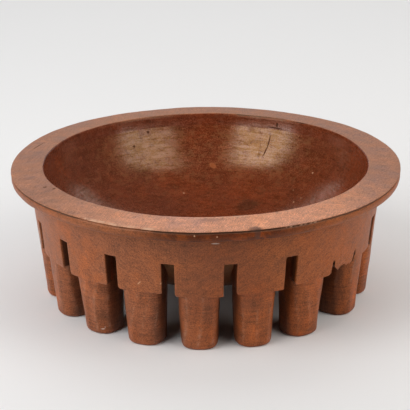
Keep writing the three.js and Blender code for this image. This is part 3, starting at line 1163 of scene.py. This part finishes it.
class KAVA_OT_rim(bpy.types.Operator):
    """Turn the broad flat rim"""

    bl_idname = "kava.rim"
    bl_label = "Rim"

    def raise_beads(self, piece, settings, outer_top):
        """Raises a row of small beads in the line under the outer edge."""
        first, last, pitch = BEADS
        for vertex in piece.data.vertices:
            angle = angle_of(vertex.co)
            in_line = abs(vertex.co.z - (outer_top - BEAD_DROP)) < BEAD_HALF
            if first < angle < last and in_line and radius_of(vertex.co) > RIM_RADIUS - BEAD_DEPTH:
                swell = math.sin(math.pi * (angle - first) / pitch) ** 2
                vertex.co += at_angle(angle, settings.bead_height * swell, 0)

    def mark_edges(self, piece, outer_top):
        """Marks the painted highlights on the bright stretches of the rim's edges and on the beads, painted
        shade in the line under the outer edge, and the dark line on the inner lip.
        """
        worn = piece.data.attributes["wear_and_highlight"].data
        dirt_and_shade_mask = piece.data.attributes["dirt_and_shade_corner"].data
        low_line, high_line = (RIM_TOP - drop for drop in DARK_LINE_DROPS)
        least, jags = DARK_LINE_SHARES

        def on_side(radius, height, part):
            inset, drop = part
            return radius > RIM_RADIUS - inset and height > outer_top - drop

        for index, vertex in enumerate(piece.data.vertices):
            angle, radius, height = angle_of(vertex.co), radius_of(vertex.co), vertex.co.z
            if on_side(radius, height, ARRIS_PART):
                worn[index].value = max(worn[index].value, ARRIS_HIGHLIGHT * stretch(angle, *BRIGHT_ARRIS))
            elif on_side(radius, height, LINE_PART):
                is_bead = radius > RIM_RADIUS - BEAD_PART[0] and height < outer_top - BEAD_PART[1]
                worn[index].value = BEAD_HIGHLIGHT if is_bead else 0
                open_groove = 1 - ARRIS_COVER * stretch(angle, *BRIGHT_ARRIS)
                dirt_and_shade_mask[index].value = 0 if is_bead else open_groove * stretch(angle, *GROOVE)
            elif radius < MOUTH_RADIUS + LIP_PART[0] and height > RIM_TOP - LIP_PART[1]:
                worn[index].value = LIP_HIGHLIGHT * stretch(angle, *BRIGHT_LIP)
                jagged = max(least + jags * noise.noise(vertex.co * DARK_LINE_WAVES), 0)
                in_line = low_line < height < high_line
                dirt_and_shade_mask[index].value = jagged * stretch(angle, *DARK_LIP) if in_line else 0

    def profile(self, settings, outer_top):
        """The section of the rim as radius and height, from the seam inside to the seam outside."""
        round_in, groove = settings.edge_radius, settings.groove_depth
        wall_top = RIM_TOP - round_in
        points = []
        for step in range(WALL_STEPS + 1):
            height = SEAM_HEIGHT + (wall_top - SEAM_HEIGHT) * step / WALL_STEPS
            points.append((dish_point(dish_share(height))[0], height))
        for step in range(1, EDGE_STEPS + 1):
            turn = math.pi / 2 * step / EDGE_STEPS
            radius = MOUTH_RADIUS + round_in * (1 - math.cos(turn))
            points.append((radius, RIM_TOP - round_in * (1 - math.sin(turn))))
        top_start = MOUTH_RADIUS + round_in
        top_end = RIM_RADIUS - TOP_END
        for step in range(1, TOP_STEPS + 1):
            share = step / TOP_STEPS
            points.append((top_start + (top_end - top_start) * share, RIM_TOP - RIM_FALL * share))
        points += [(RIM_RADIUS - inset * MM, outer_top - drop * MM) for inset, drop in ARRIS_CORNERS]
        points += [(RIM_RADIUS - LINE_INSET * MM - groove, outer_top - drop * MM) for drop in LINE_DROPS]
        points += [(RIM_RADIUS - share * groove, outer_top - drop * MM) for share, drop in LINE_FADE]
        points += [(RIM_RADIUS - inset * MM, outer_top - drop * MM) for inset, drop in BAND_CORNERS]
        points += [(RIM_RADIUS - inset * MM, SEAM_HEIGHT + rise * MM) for inset, rise in OVERHANG_CORNERS]
        points += [(SKIRT_TOP_RADIUS + out * MM, SEAM_HEIGHT + rise * MM) for out, rise in SEAT_CORNERS]
        return points

    def execute(self, context):
        settings = context.scene.kava_rim
        outer_top = RIM_TOP - RIM_FALL
        points = self.profile(settings, outer_top)
        draw_profile(points, closed=True)
        spin_profile(settings.steps)
        piece = name_piece("carved_rim")
        self.raise_beads(piece, settings, outer_top)
        mark_wear_and_shade(piece, at_seam)
        self.mark_edges(piece, outer_top)
        carve_by_hand(piece)
        wood = wood_material("Rim wood", context.scene.kava_wood)
        finish_piece(piece, ["rim"], wood)
        return {"FINISHED"}


UNDER_ROWS = 28  # rows of faces over the underside of the bowl


class KAVA_OT_bowl(bpy.types.Operator):
    """Hollow the dish and round its underside"""

    bl_idname = "kava.bowl"
    bl_label = "Bowl"

    def execute(self, context):
        settings = context.scene.kava_bowl
        seam = dish_share(SEAM_HEIGHT)
        inner = [dish_point(seam * step / settings.rows) for step in range(settings.rows + 1)]
        shoulder = cone_radius(SEAM_HEIGHT) - SKIRT_THICKNESS
        outer = [underside_point(step / UNDER_ROWS) for step in range(UNDER_ROWS, -1, -1)]
        points = inner + [(shoulder, SEAM_HEIGHT)] + outer
        draw_profile(points, closed=False)
        spin_profile(settings.steps)
        piece = name_piece("carved_bowl")
        mark_wear_and_shade(piece, at_seam)
        carve_by_hand(piece)
        wood = wood_material("Dish wood", context.scene.kava_wood)
        finish_piece(piece, ["bowl"], wood)
        return {"FINISHED"}


def at_seam(place):
    return abs(place.z - SEAM_HEIGHT) < MM


# The height over which a leg's section grows from round to square
SQUARED_HEIGHTS = (15 * MM, 64 * MM)
# Where a tab and its leg are one surface: how softly that ends to the sides, how far above the ledge and
# how deep behind the outer face it reaches, and the least share that counts
FLUSH_FADE = 4 * MM
FLUSH_HEIGHT = 12 * MM
FLUSH_DEPTH = 6 * MM
FLUSH_LEAST = 0.3


def leg_number(index):
    return int(LEG_NODES[index].split("_")[1])


def nearest_leg(angle):
    return min(range(len(LEG_ANGLES)), key=lambda index: abs(angle_between(angle, LEG_ANGLES[index])))


def across_leg(angle, index, height):
    """How far a place on the outer face lies to the right of a leg's outermost line."""
    return cone_radius(height) * math.sin(math.radians(angle_between(angle, LEG_ANGLES[index])))


def snap(angle, column):
    """The nearest edge of the columns of faces."""
    return round(angle / column) * column


def leg_radius(legs, height):
    """Half the width of a leg, which grows up to the skirt and a little behind it."""
    return legs.foot_radius + legs.flare * height / SKIRT_BOTTOM


def leg_centre(legs, index, height):
    return at_angle(LEG_ANGLES[index], cone_radius(height) - leg_radius(legs, height), height)


def leg_axes(index):
    """The directions out from the axis of the bowl through a leg, and to the right of it."""
    return at_angle(LEG_ANGLES[index], 1, 0), at_angle(LEG_ANGLES[index] + 90, 1, 0)


def leg_power(legs, height):
    """The superellipse power of a leg's section: round at the foot, squarer behind its tab."""
    return FOOT_POWER + (legs.squareness - FOOT_POWER) * smooth_step(*SQUARED_HEIGHTS, height)


def leg_recess(legs, across, height):
    """How far the face of a leg lies behind the skirt at a distance across from its outermost line."""
    radius = leg_radius(legs, height)
    power = leg_power(legs, height)
    share = min(abs(across) / radius, 1)
    flat = radius * (1 - (1 - share**power) ** (1 / power))
    return max(flat - across**2 / (2 * cone_radius(height)), 0)


def flush_share(index, across):
    """1 where a tab runs down into its leg without a line, and 0 where its lower edge overhangs the leg."""
    left, right = FLUSH_REACH.get(leg_number(index), FLUSH_REACH_USUAL)
    reach = (right if across > 0 else left) * MM
    return smooth_step(reach + FLUSH_FADE, reach, abs(across))


def in_flush_zone(place):
    """Whether a place on the skirt lies where a tab and its leg are one surface."""
    index = nearest_leg(angle_of(place))
    across = across_leg(angle_of(place), index, place.z)
    low = place.z < LEDGE_HEIGHT + FLUSH_HEIGHT
    outer = radius_of(place) > cone_radius(place.z) - FLUSH_DEPTH
    return low and outer and flush_share(index, across) > FLUSH_LEAST


def tab_line(index, angle):
    """The height of the lower edge of a tab at an angle, from its two corners."""
    left, right = TAB_CORNERS.get(leg_number(index), (TAB_CORNER_USUAL, TAB_CORNER_USUAL))
    share = (angle_between(angle, LEG_ANGLES[index]) + TAB_HALF_ANGLE) / (2 * TAB_HALF_ANGLE)
    return (left + (right - left) * share) * MM


def slot_list(settings):
    """Each slot as its two edges, in degrees, and the height of its top."""
    slots = []
    for index in range(len(LEG_ANGLES) - 1):
        number = leg_number(index)
        span = angle_between(LEG_ANGLES[index + 1], LEG_ANGLES[index])
        middle = LEG_ANGLES[index] + span / 2 + SLOT_DRIFT.get(number, SLOT_DRIFT_USUAL)
        half = settings.slot_width / 2
        right = middle + half + SLOT_WIDER.get(number, 0)
        slots.append((middle - half, right, SLOT_TOPS.get(number, SLOT_TOP_USUAL) * MM))
    return slots


def slot_turn(slots, column, angle):
    """How far, in degrees, the columns of faces move at an angle to meet the edges of the slots."""
    turn = 0.0
    for left, right, _ in slots:
        for edge in (left, right):
            snapped = snap(edge, column)
            turn += (edge - snapped) * max(0, 1 - abs(angle_between(angle, snapped)) / COLUMN_REACH)
    return turn


def slot_lift(slots, angle):
    """How far the tops of the slots beside an angle lie above the usual height."""
    return sum(
        (top - SLOT_TOP) * smooth_step(*SLOT_REACH, abs(angle_between(angle, (left + right) / 2)))
        for left, right, top in slots
    )


def break_knots(cuts):
    """The corners of the broken edge, each with its share of the way along, in whole steps of the columns."""
    lengths = [0.0]
    for (a0, h0), (a1, h1) in zip(BREAK_EDGE, BREAK_EDGE[1:]):
        across = math.radians(a1 - a0) * SKIRT_TOP_RADIUS / MM
        lengths.append(lengths[-1] + math.hypot(across, (h1 - h0) * STEEP_SHARE))
    steps = round(angle_between(BREAK_END, BREAK_START) * cuts)
    shares = [round(length / lengths[-1] * steps) / steps for length in lengths]
    return [(share, a, h * MM) for share, (a, h) in zip(shares, BREAK_EDGE)]


# Above the slots, how far up the skirt the sheet follows their tops and their edges
TOP_FADE = 14 * MM
EDGE_FADE = 10 * MM
# Along the break, how near a column counts as a corner of its edge, and over which share of the height the
# columns spread evenly again
KNOT_TOLERANCE = 1e-6
BREAK_RELAX = (0, 0.9)
# Edges that are worn: the least turn between their faces, how far below the seam they lie, where the tabs
# and the break end, and how little the break is worn
EDGE_TURN = math.radians(50)
BELOW_SEAM = 3 * MM
TAB_PART = 25 * MM
BREAK_PART = 10 * MM
BREAK_WEAR = 0.2
# Where a tab is drawn back to its leg: up to how far above the ledge, above its own lower edge and behind
# the face
FLOW_HEIGHT = 22 * MM
FLOW_RISE = 16 * MM
FLOW_DEPTHS = (9 * MM, 1 * MM)
# The splinters of the break: their top, the depth at which they begin, how they fade at its two ends in
# degrees and, in millimetres, how far the face slopes, how rough it is and how far that goes sideways, with
# the two sizes of waves that make it rough
SPLINTER_TOP = 90 * MM
SPLINTER_DEPTH = 5 * MM
SPLINTER_FADES = (1.5, 1)
SPLINTER_SLOPE = 3
SPLINTER_ROUGH = 1.2
SPLINTER_SIDEWAYS = 0.15
SPLINTER_WAVES = ((260, 1), (620, 0.5))


class KAVA_OT_skirt(bpy.types.Operator):
    """Cut the skirt into tabs and break its edge in the wide space"""

    bl_idname = "kava.skirt"
    bl_label = "Skirt"

    def raise_sheet(self, settings):
        """The outer face of the skirt as a leaning sheet, one row of faces at a time."""
        deselect_all()
        bpy.ops.mesh.primitive_circle_add(vertices=settings.columns, radius=cone_radius(SKIRT_BOTTOM))
        bpy.ops.object.mode_set(mode="EDIT")
        bpy.ops.mesh.select_all(action="SELECT")
        bpy.ops.transform.translate(value=(0, 0, SKIRT_BOTTOM))
        below = round((SLOT_TOP - SKIRT_BOTTOM) / settings.row_height)
        above = round((SEAM_HEIGHT - SLOT_TOP) / settings.row_height)
        heights = [SKIRT_BOTTOM + (SLOT_TOP - SKIRT_BOTTOM) * step / below for step in range(below + 1)]
        heights += [SLOT_TOP + (SEAM_HEIGHT - SLOT_TOP) * step / above for step in range(1, above + 1)]
        for low, high in zip(heights, heights[1:]):
            bpy.ops.mesh.extrude_region_move(TRANSFORM_OT_translate={"value": (0, 0, high - low)})
            grow = cone_radius(high) / cone_radius(low)
            bpy.ops.transform.resize(value=(grow, grow, 1), center_override=(0, 0, high))
        bpy.ops.mesh.select_all(action="SELECT")
        bpy.ops.mesh.normals_make_consistent(inside=False)
        bpy.ops.mesh.select_mode(type="FACE")

    def select_faces(self, test):
        """Selects the faces of the sheet whose middle passes a test of angle and height."""
        sheet = bmesh.from_edit_mesh(bpy.context.object.data)
        for face in sheet.faces:
            middle = face.calc_center_median()
            face.select_set(test(angle_of(middle), middle.z))

    def cut_slots(self, slots, column):
        """Takes the faces of the slots out of the sheet, in whole columns."""
        snapped = [(snap(left, column), snap(right, column)) for left, right, _ in slots]

        def in_slot(angle, height):
            if height > SLOT_TOP:
                return False
            return any(angle_between(angle, a) > 0 and angle_between(angle, b) < 0 for a, b in snapped)

        self.select_faces(in_slot)
        bpy.ops.mesh.delete(type="FACE")

    def refine_break(self, settings):
        """Divides the columns of the break into finer ones."""
        self.select_faces(lambda angle, height: BREAK_START < angle < BREAK_END and height < SLOT_TOP)
        bpy.ops.mesh.subdivide(number_cuts=settings.break_cuts - 1)

    def break_place(self, knots, angle, height):
        """Where a point of the plain sheet goes when its lower edge follows the break."""
        along = (angle - BREAK_START) / (BREAK_END - BREAK_START)
        edge_angle, edge_height = knots[-1][1:]
        for (s0, a0, h0), (s1, a1, h1) in zip(knots, knots[1:]):
            if along <= s1 + KNOT_TOLERANCE:
                part = (along - s0) / (s1 - s0)
                edge_angle, edge_height = a0 + (a1 - a0) * part, h0 + (h1 - h0) * part
                break
        share = (height - SKIRT_BOTTOM) / (SLOT_TOP - SKIRT_BOTTOM)
        relax = smooth_step(*BREAK_RELAX, share)
        return edge_angle + (angle - edge_angle) * relax, edge_height + (SLOT_TOP - edge_height) * share

    def true_edges(self, piece, settings, slots, column):
        """Moves the columns and rows beside each slot to its own edges, and each tab to its own length."""
        knots = break_knots(settings.break_cuts * settings.columns / 360)
        for vertex in piece.data.vertices:
            angle, height = angle_of(vertex.co), vertex.co.z
            if height > SLOT_TOP + MM / 10:
                angle, height = self.place_above(slots, column, angle, height)
            elif BREAK_START - column / 4 < angle < BREAK_END + column / 4:
                angle, height = self.break_place(knots, angle, height)
            else:
                angle, height = self.tab_place(slots, column, angle, height)
            vertex.co = at_angle(angle, cone_radius(height), height)

    def place_above(self, slots, column, angle, height):
        """Where a point of the plain sheet goes above the slots."""
        height += slot_lift(slots, angle) * smooth_step(SLOT_TOP + TOP_FADE, SLOT_TOP, height)
        share = smooth_step(SLOT_TOP + EDGE_FADE, SLOT_TOP, height)
        return angle + slot_turn(slots, column, angle) * share, height

    def tab_place(self, slots, column, angle, height):
        """Where a point of the plain sheet goes on a tab, from the slots beside it and its lower edge."""
        corner_lift = 0.0
        for left, right, _ in slots:
            for edge, corner in ((left, CORNER_RIGHT), (right, CORNER_LEFT)):
                away = abs(angle_between(angle, snap(edge, column)))
                reach = corner - min(corner, math.radians(away) * cone_radius(height))
                corner_lift += corner - math.sqrt(corner**2 - reach**2)
        bottom = tab_line(nearest_leg(angle), angle) + corner_lift
        share = (SLOT_TOP - height) / (SLOT_TOP - SKIRT_BOTTOM)
        height = SLOT_TOP + slot_lift(slots, angle) * (1 - share) + (bottom - SLOT_TOP) * share
        return angle + slot_turn(slots, column, angle), height

    def wear_edges(self, piece, settings):
        """Rounds the cut edges, but leaves the tab sharp where it runs flush into its leg."""
        shape = bmesh.new()
        shape.from_mesh(piece.data)
        weight = shape.edges.layers.float.new("bevel_weight_edge")
        for edge in shape.edges:
            if not edge.is_manifold or edge.calc_face_angle() < EDGE_TURN:
                continue
            middle = (edge.verts[0].co + edge.verts[1].co) / 2
            if middle.z > SEAM_HEIGHT - BELOW_SEAM:
                continue
            angle = angle_of(middle)
            index = nearest_leg(angle)
            outer = radius_of(middle) > cone_radius(middle.z) - SKIRT_THICKNESS / 2
            lower = middle.z < SLOT_TOP - TAB_PART
            flush = flush_share(index, across_leg(angle, index, middle.z))
            edge[weight] = 1 - flush if lower and outer else 1
            if BREAK_START < angle < BREAK_END and middle.z < SLOT_TOP - BREAK_PART:
                edge[weight] = min(edge[weight], BREAK_WEAR)
        shape.to_mesh(piece.data)
        shape.free()
        bevel = piece.modifiers.new("Worn edges", "BEVEL")
        bevel.limit_method = "WEIGHT"
        bevel.width = settings.edge_wear
        bevel.segments = 2
        bevel.use_clamp_overlap = False
        apply_modifiers(piece)

    def flow_into_legs(self, piece, legs):
        """Draws the lower face of each tab back to its leg where the two are one surface."""
        for vertex in piece.data.vertices:
            height = vertex.co.z
            if height > LEDGE_HEIGHT + FLOW_HEIGHT:
                continue
            depth = cone_radius(height) - radius_of(vertex.co)
            angle = angle_of(vertex.co)
            index = nearest_leg(angle)
            across = across_leg(angle, index, height)
            bottom = tab_line(index, angle)
            push = leg_recess(legs, across, bottom) * flush_share(index, across)
            push *= smooth_step(bottom + FLOW_RISE, bottom, height) * smooth_step(*FLOW_DEPTHS, depth)
            vertex.co -= at_angle(angle, push, 0)

    def splinter_break(self, piece):
        """Roughens the broken face behind its edge and slopes it upwards to the back."""
        fade_in, fade_out = SPLINTER_FADES
        for vertex in piece.data.vertices:
            angle = angle_of(vertex.co)
            if not BREAK_START < angle < BREAK_END or vertex.co.z > SPLINTER_TOP:
                continue
            depth = cone_radius(vertex.co.z) - radius_of(vertex.co)
            inner = smooth_step(SPLINTER_DEPTH, SKIRT_THICKNESS, depth)
            ends = smooth_step(BREAK_START, BREAK_START + fade_in, angle)
            ends *= smooth_step(BREAK_END, BREAK_END - fade_out, angle)
            rough = sum(share * noise.noise(vertex.co * waves) for waves, share in SPLINTER_WAVES)
            vertex.co.z += (SPLINTER_SLOPE * MM * inner + SPLINTER_ROUGH * MM * rough * inner) * ends
            vertex.co += Vector((rough, -rough, 0)) * SPLINTER_SIDEWAYS * MM * ends

    def execute(self, context):
        settings = context.scene.kava_skirt
        legs = context.scene.kava_legs
        column = 360 / settings.columns
        slots = slot_list(settings)
        self.raise_sheet(settings)
        self.cut_slots(slots, column)
        self.refine_break(settings)
        bpy.ops.object.mode_set(mode="OBJECT")
        piece = name_piece("carved_skirt")
        self.true_edges(piece, settings, slots, column)
        solidify = piece.modifiers.new("Wall", "SOLIDIFY")
        solidify.thickness = SKIRT_THICKNESS
        solidify.offset = -1
        apply_modifiers(piece)
        for vertex in piece.data.vertices:
            vertex.co.z = min(vertex.co.z, SEAM_HEIGHT)
        self.wear_edges(piece, settings)
        self.splinter_break(piece)
        mark_wear_and_shade(piece, lambda place: at_seam(place) or in_flush_zone(place))
        self.flow_into_legs(piece, legs)
        carve_by_hand(piece)
        wood = wood_material("Skirt wood", context.scene.kava_wood)
        finish_piece(piece, ["skirt"], wood)
        return {"FINISHED"}


# The rounded edge of a foot, in millimetres: height, and how far in from the radius of the foot
FOOT_EDGE = [(0, 3.2), (0.5, 1.6), (1.4, 0.6), (3, 0)]
FOOT_EDGE_TOP = 3 * MM
LEG_ROWS = 24
TOP_ROWS = 18
# The fit of a leg: how far its ledge reaches above the lower edge of its tab and its top into the
# underside, how far it stays behind the skirt and, in millimetres, behind the outer face
LEDGE_OVERLAP = 0.5 * MM
CEILING_OVERLAP = 0.6 * MM
SKIRT_GAP = 0.4 * MM
FACE_SET_BACK = 0.06
# Where the flats of the knife stop: towards the outermost line, up under the tab, and at the foot
OUTERMOST_SHARES = (0.75, 1)
UNDER_TAB_HEIGHTS = (40 * MM, 60 * MM)
FOOT_FADE = 5 * MM
LEDGE_FADE = 20 * MM
# The flats: how many a leg has at least, how far they turn from one leg to the next, and how they wander up
# a leg
FEWEST_FLATS = 8
FLAT_COUNTS = 3
FLAT_TURN = 1.7
FLAT_WANDER = 0.25
FLAT_WAVES = 40
# The pale ridges between them, wear with a painted highlight: where they lie on a flat, from which height,
# and how patchy and strong the paling is
RIDGE_SHARES = (0.30, 0.48)
RIDGE_HEIGHTS = (2 * MM, 8 * MM)
RIDGE_PATCHES = (0.35, 1.6)
RIDGE_WAVES = 28
RIDGE_PALE = 0.55
LEG_TOP_HIDDEN = 8 * MM  # below the ledge


class KAVA_OT_legs(bpy.types.Operator):
    """Shape the ring of round legs"""

    bl_idname = "kava.legs"
    bl_label = "Legs"

    def raise_column(self, settings, index):
        """A round column, from the rounded edge of its foot up to the underside of the bowl."""
        foot = settings.foot_radius
        rows = [(height * MM, foot - inset * MM) for height, inset in FOOT_EDGE]
        for step in range(1, LEG_ROWS + 1):
            height = FOOT_EDGE_TOP + (LEDGE_HEIGHT - FOOT_EDGE_TOP) * step / LEG_ROWS
            rows.append((height, leg_radius(settings, height)))
        for step in range(TOP_ROWS + 1):
            height = LEDGE_HEIGHT + LEDGE_STEP + (UNDERCUT_TOP - LEDGE_HEIGHT - LEDGE_STEP) * step / TOP_ROWS
            rows.append((height, leg_radius(settings, height)))
        deselect_all()
        bpy.ops.mesh.primitive_circle_add(vertices=settings.sides, radius=rows[0][1], fill_type="NGON")
        bpy.ops.object.mode_set(mode="EDIT")
        bpy.ops.mesh.select_all(action="SELECT")
        centre = leg_centre(settings, index, 0)
        bpy.ops.transform.translate(value=centre)
        for (_, r0), (high, r1) in zip(rows, rows[1:]):
            before = centre
            centre = leg_centre(settings, index, high)
            bpy.ops.mesh.extrude_region_move(TRANSFORM_OT_translate={"value": centre - before})
            bpy.ops.transform.resize(value=(r1 / r0, r1 / r0, 1), center_override=centre)
        bpy.ops.mesh.select_all(action="SELECT")
        bpy.ops.mesh.normals_make_consistent(inside=False)
        bpy.ops.object.mode_set(mode="OBJECT")

    def shape_section(self, piece, settings, index):
        """Squares the section towards the skirt, leaves flats of the knife, and fits the top to its tab."""
        out, side = leg_axes(index)
        for vertex in piece.data.vertices:
            height = vertex.co.z
            centre = leg_centre(settings, index, height)
            local = vertex.co - centre
            u, v = local.dot(side), local.dot(out)
            length = math.hypot(u, v)
            power = leg_power(settings, height)
            swell = (abs(u / length) ** power + abs(v / length) ** power) ** (-1 / power)
            flat_turn, width = self.flat_place(math.atan2(u, v), index, height)
            flat = math.cos(width / 2) / math.cos(flat_turn) - (1 + math.cos(width / 2)) / 2
            outermost = smooth_step(*OUTERMOST_SHARES, v / length) * smooth_step(*UNDER_TAB_HEIGHTS, height)
            swell += settings.flats * flat * (1 - outermost) * smooth_step(0, FOOT_FADE, height)
            place = centre + (side * u + out * v) * swell
            ledge = tab_line(index, angle_of(place)) + LEDGE_OVERLAP
            if height <= LEDGE_HEIGHT:
                place.z = height + (ledge - LEDGE_HEIGHT) * smooth_step(LEDGE_FADE, LEDGE_HEIGHT, height)
            else:
                ceiling = underside_height(min(radius_of(place), UNDERSIDE[-1][0])) + CEILING_OVERLAP
                share = (height - LEDGE_HEIGHT) / (UNDERCUT_TOP - LEDGE_HEIGHT)
                place.z = ledge + (ceiling - ledge) * share
                beyond = radius_of(place) - (cone_radius(place.z) - SKIRT_THICKNESS + SKIRT_GAP)
                if beyond > 0:
                    place -= out * beyond
            vertex.co = place - out * FACE_SET_BACK * MM

    def flat_place(self, turn, index, height):
        """How far a direction lies from the middle of its flat, in radians, and the width of a flat."""
        flats = FEWEST_FLATS + index % FLAT_COUNTS
        turned = turn + index * FLAT_TURN + FLAT_WANDER * math.sin(height * FLAT_WAVES + index)
        return math.remainder(turned, FULL_TURN / flats), FULL_TURN / flats

    def pale_ridges(self, piece, settings, index):
        """Marks the ridges between the flats as pale, here and there: wear with a painted highlight."""
        out, side = leg_axes(index)
        least, patches = RIDGE_PATCHES
        worn = piece.data.attributes["wear_and_highlight"].data
        for number, vertex in enumerate(piece.data.vertices):
            height = vertex.co.z
            local = vertex.co - leg_centre(settings, index, height)
            from_middle, width = self.flat_place(math.atan2(local.dot(side), local.dot(out)), index, height)
            ridge = smooth_step(*RIDGE_SHARES, abs(from_middle) / width) * smooth_step(*RIDGE_HEIGHTS, height)
            patchy = max(least + patches * noise.noise(Vector((index, from_middle, height * RIDGE_WAVES))), 0)
            worn[number].value = max(worn[number].value, RIDGE_PALE * ridge * patchy)

    def execute(self, context):
        settings = context.scene.kava_legs
        wood = wood_material("Leg wood", context.scene.kava_wood)
        for index, name in enumerate(LEG_NODES):
            self.raise_column(settings, index)
            piece = name_piece("carved_" + name)
            self.shape_section(piece, settings, index)
            mark_wear_and_shade(piece, lambda place: place.z > LEDGE_HEIGHT - LEG_TOP_HIDDEN)
            self.pale_ridges(piece, settings, index)
            carve_by_hand(piece)
            finish_piece(piece, [name], wood)
        return {"FINISHED"}


class KAVA_OT_stage(bpy.types.Operator):
    """Set the pale floor, the soft lamps and the camera"""

    bl_idname = "kava.stage"
    bl_label = "Stage"

    def add_camera(self, settings):
        data = bpy.data.cameras.new("Camera")
        camera = bpy.data.objects.new("Camera", data)
        bpy.context.collection.objects.link(camera)
        data.lens = settings.lens
        data.sensor_width = SENSOR_WIDTH
        rise = settings.camera_height_angle
        camera.location = (
            0,
            -settings.camera_distance * math.cos(rise),
            RIM_TOP - RIM_FALL + settings.camera_distance * math.sin(rise),
        )
        turn = Matrix.Rotation(settings.camera_turn, 4, "Z")
        look = Matrix.Rotation(math.pi / 2 - settings.camera_pitch, 4, "X")
        roll = Matrix.Rotation(settings.camera_roll, 4, "Z")
        camera.rotation_euler = (turn @ look @ roll).to_euler()
        bpy.context.scene.camera = camera

    def add_floor(self, settings):
        """A pale floor, which fades far off into the pale wall where the camera sees it."""
        deselect_all()
        bpy.ops.mesh.primitive_plane_add(size=FLOOR_SIZE)
        floor = name_piece("floor")
        material = bpy.data.materials.new("Floor paper")
        material.use_nodes = True
        material.node_tree.nodes.clear()
        w = Wiring(material.node_tree)
        place = w.place()
        cloud = w.times(w.noise(place, "floor cloud"), FLOOR_CLOUD_SHARE)
        color = w.mix(cloud, opaque(settings.floor_color), FLOOR_CLOUD_COLOR)
        shader = w.add("ShaderNodeBsdfPrincipled", {"Base Color": color, "Roughness": FLOOR_ROUGHNESS})
        seen = w.add("ShaderNodeLightPath").outputs["Is Camera Ray"]
        far = w.times(w.grow(w.vector("DISTANCE", place, HAZE_CENTRE), "haze"), seen)
        haze = w.add("ShaderNodeEmission", {"Color": PALE_WALL, "Strength": 1.0})
        both = w.add("ShaderNodeMixShader", {0: far, 1: shader.outputs["BSDF"], 2: haze.outputs[0]})
        w.add("ShaderNodeOutputMaterial", {"Surface": both.outputs[0]})
        floor.data.materials.append(material)

    def add_lamp(self, name, place, facing, size, radiance, color, in_gloss):
        """A softbox that faces along +Y, then is tilted down, rolled and turned."""
        data = bpy.data.lights.new(name, "AREA")
        data.shape = "RECTANGLE"
        data.size, data.size_y = size
        data.energy = radiance * math.pi * size[0] * size[1]
        data.color = color
        lamp = bpy.data.objects.new(name, data)
        bpy.context.collection.objects.link(lamp)
        turn, tilt, roll = (math.radians(angle) for angle in facing)
        upright = Matrix.Rotation(-turn, 4, "Z") @ Matrix.Rotation(math.pi / 2 - tilt, 4, "X")
        lamp.location = place
        lamp.rotation_euler = (upright @ Matrix.Rotation(roll, 4, "Z")).to_euler()
        lamp.visible_camera = False
        lamp.visible_glossy = in_gloss

    def add_room(self, settings):
        """A dim room that the camera sees as a pale wall."""
        world = bpy.data.worlds.new("Studio")
        bpy.context.scene.world = world
        world.use_nodes = True
        world.node_tree.nodes.clear()
        w = Wiring(world.node_tree)
        seen = w.add("ShaderNodeLightPath").outputs["Is Camera Ray"]
        dim = w.add("ShaderNodeBackground", {"Color": ROOM_COLOR, "Strength": settings.room_light})
        pale = w.add("ShaderNodeBackground", {"Color": PALE_WALL, "Strength": 1.0})
        both = w.add("ShaderNodeMixShader", {0: seen, 1: dim.outputs[0], 2: pale.outputs[0]})
        w.add("ShaderNodeOutputWorld", {"Surface": both.outputs[0]})

    def execute(self, context):
        settings = context.scene.kava_stage
        self.add_camera(settings)
        self.add_floor(settings)
        for softbox in SOFTBOXES:
            self.add_lamp(*softbox)
        self.add_room(settings)
        context.scene.view_settings.view_transform = "Standard"
        return {"FINISHED"}


OPERATORS = (KAVA_OT_stage, KAVA_OT_rim, KAVA_OT_bowl, KAVA_OT_skirt, KAVA_OT_legs)


class KAVA_PT_panel(bpy.types.Panel):
    """Lists the steps and the sizes"""

    bl_idname = "KAVA_PT_panel"
    bl_label = "Kava Bowl"
    bl_space_type = "VIEW_3D"
    bl_region_type = "UI"
    bl_category = "Kava Bowl"

    def draw(self, context):
        for operator in OPERATORS:
            self.layout.operator(operator.bl_idname)
        for name, group in SETTINGS.items():
            box = self.layout.box()
            for key in group.__annotations__:
                box.prop(getattr(context.scene, name), key)


CLASSES = (*SETTINGS.values(), *OPERATORS, KAVA_PT_panel)


def register():
    for cls in CLASSES:
        bpy.utils.register_class(cls)
    for name, group in SETTINGS.items():
        setattr(bpy.types.Scene, name, PointerProperty(type=group))


def unregister():
    for name in SETTINGS:
        delattr(bpy.types.Scene, name)
    for cls in reversed(CLASSES):
        bpy.utils.unregister_class(cls)


def main():
    register()
    bpy.ops.kava.stage()
    bpy.ops.kava.rim()
    bpy.ops.kava.bowl()
    bpy.ops.kava.skirt()
    bpy.ops.kava.legs()


if __name__ == "__main__":
    main()
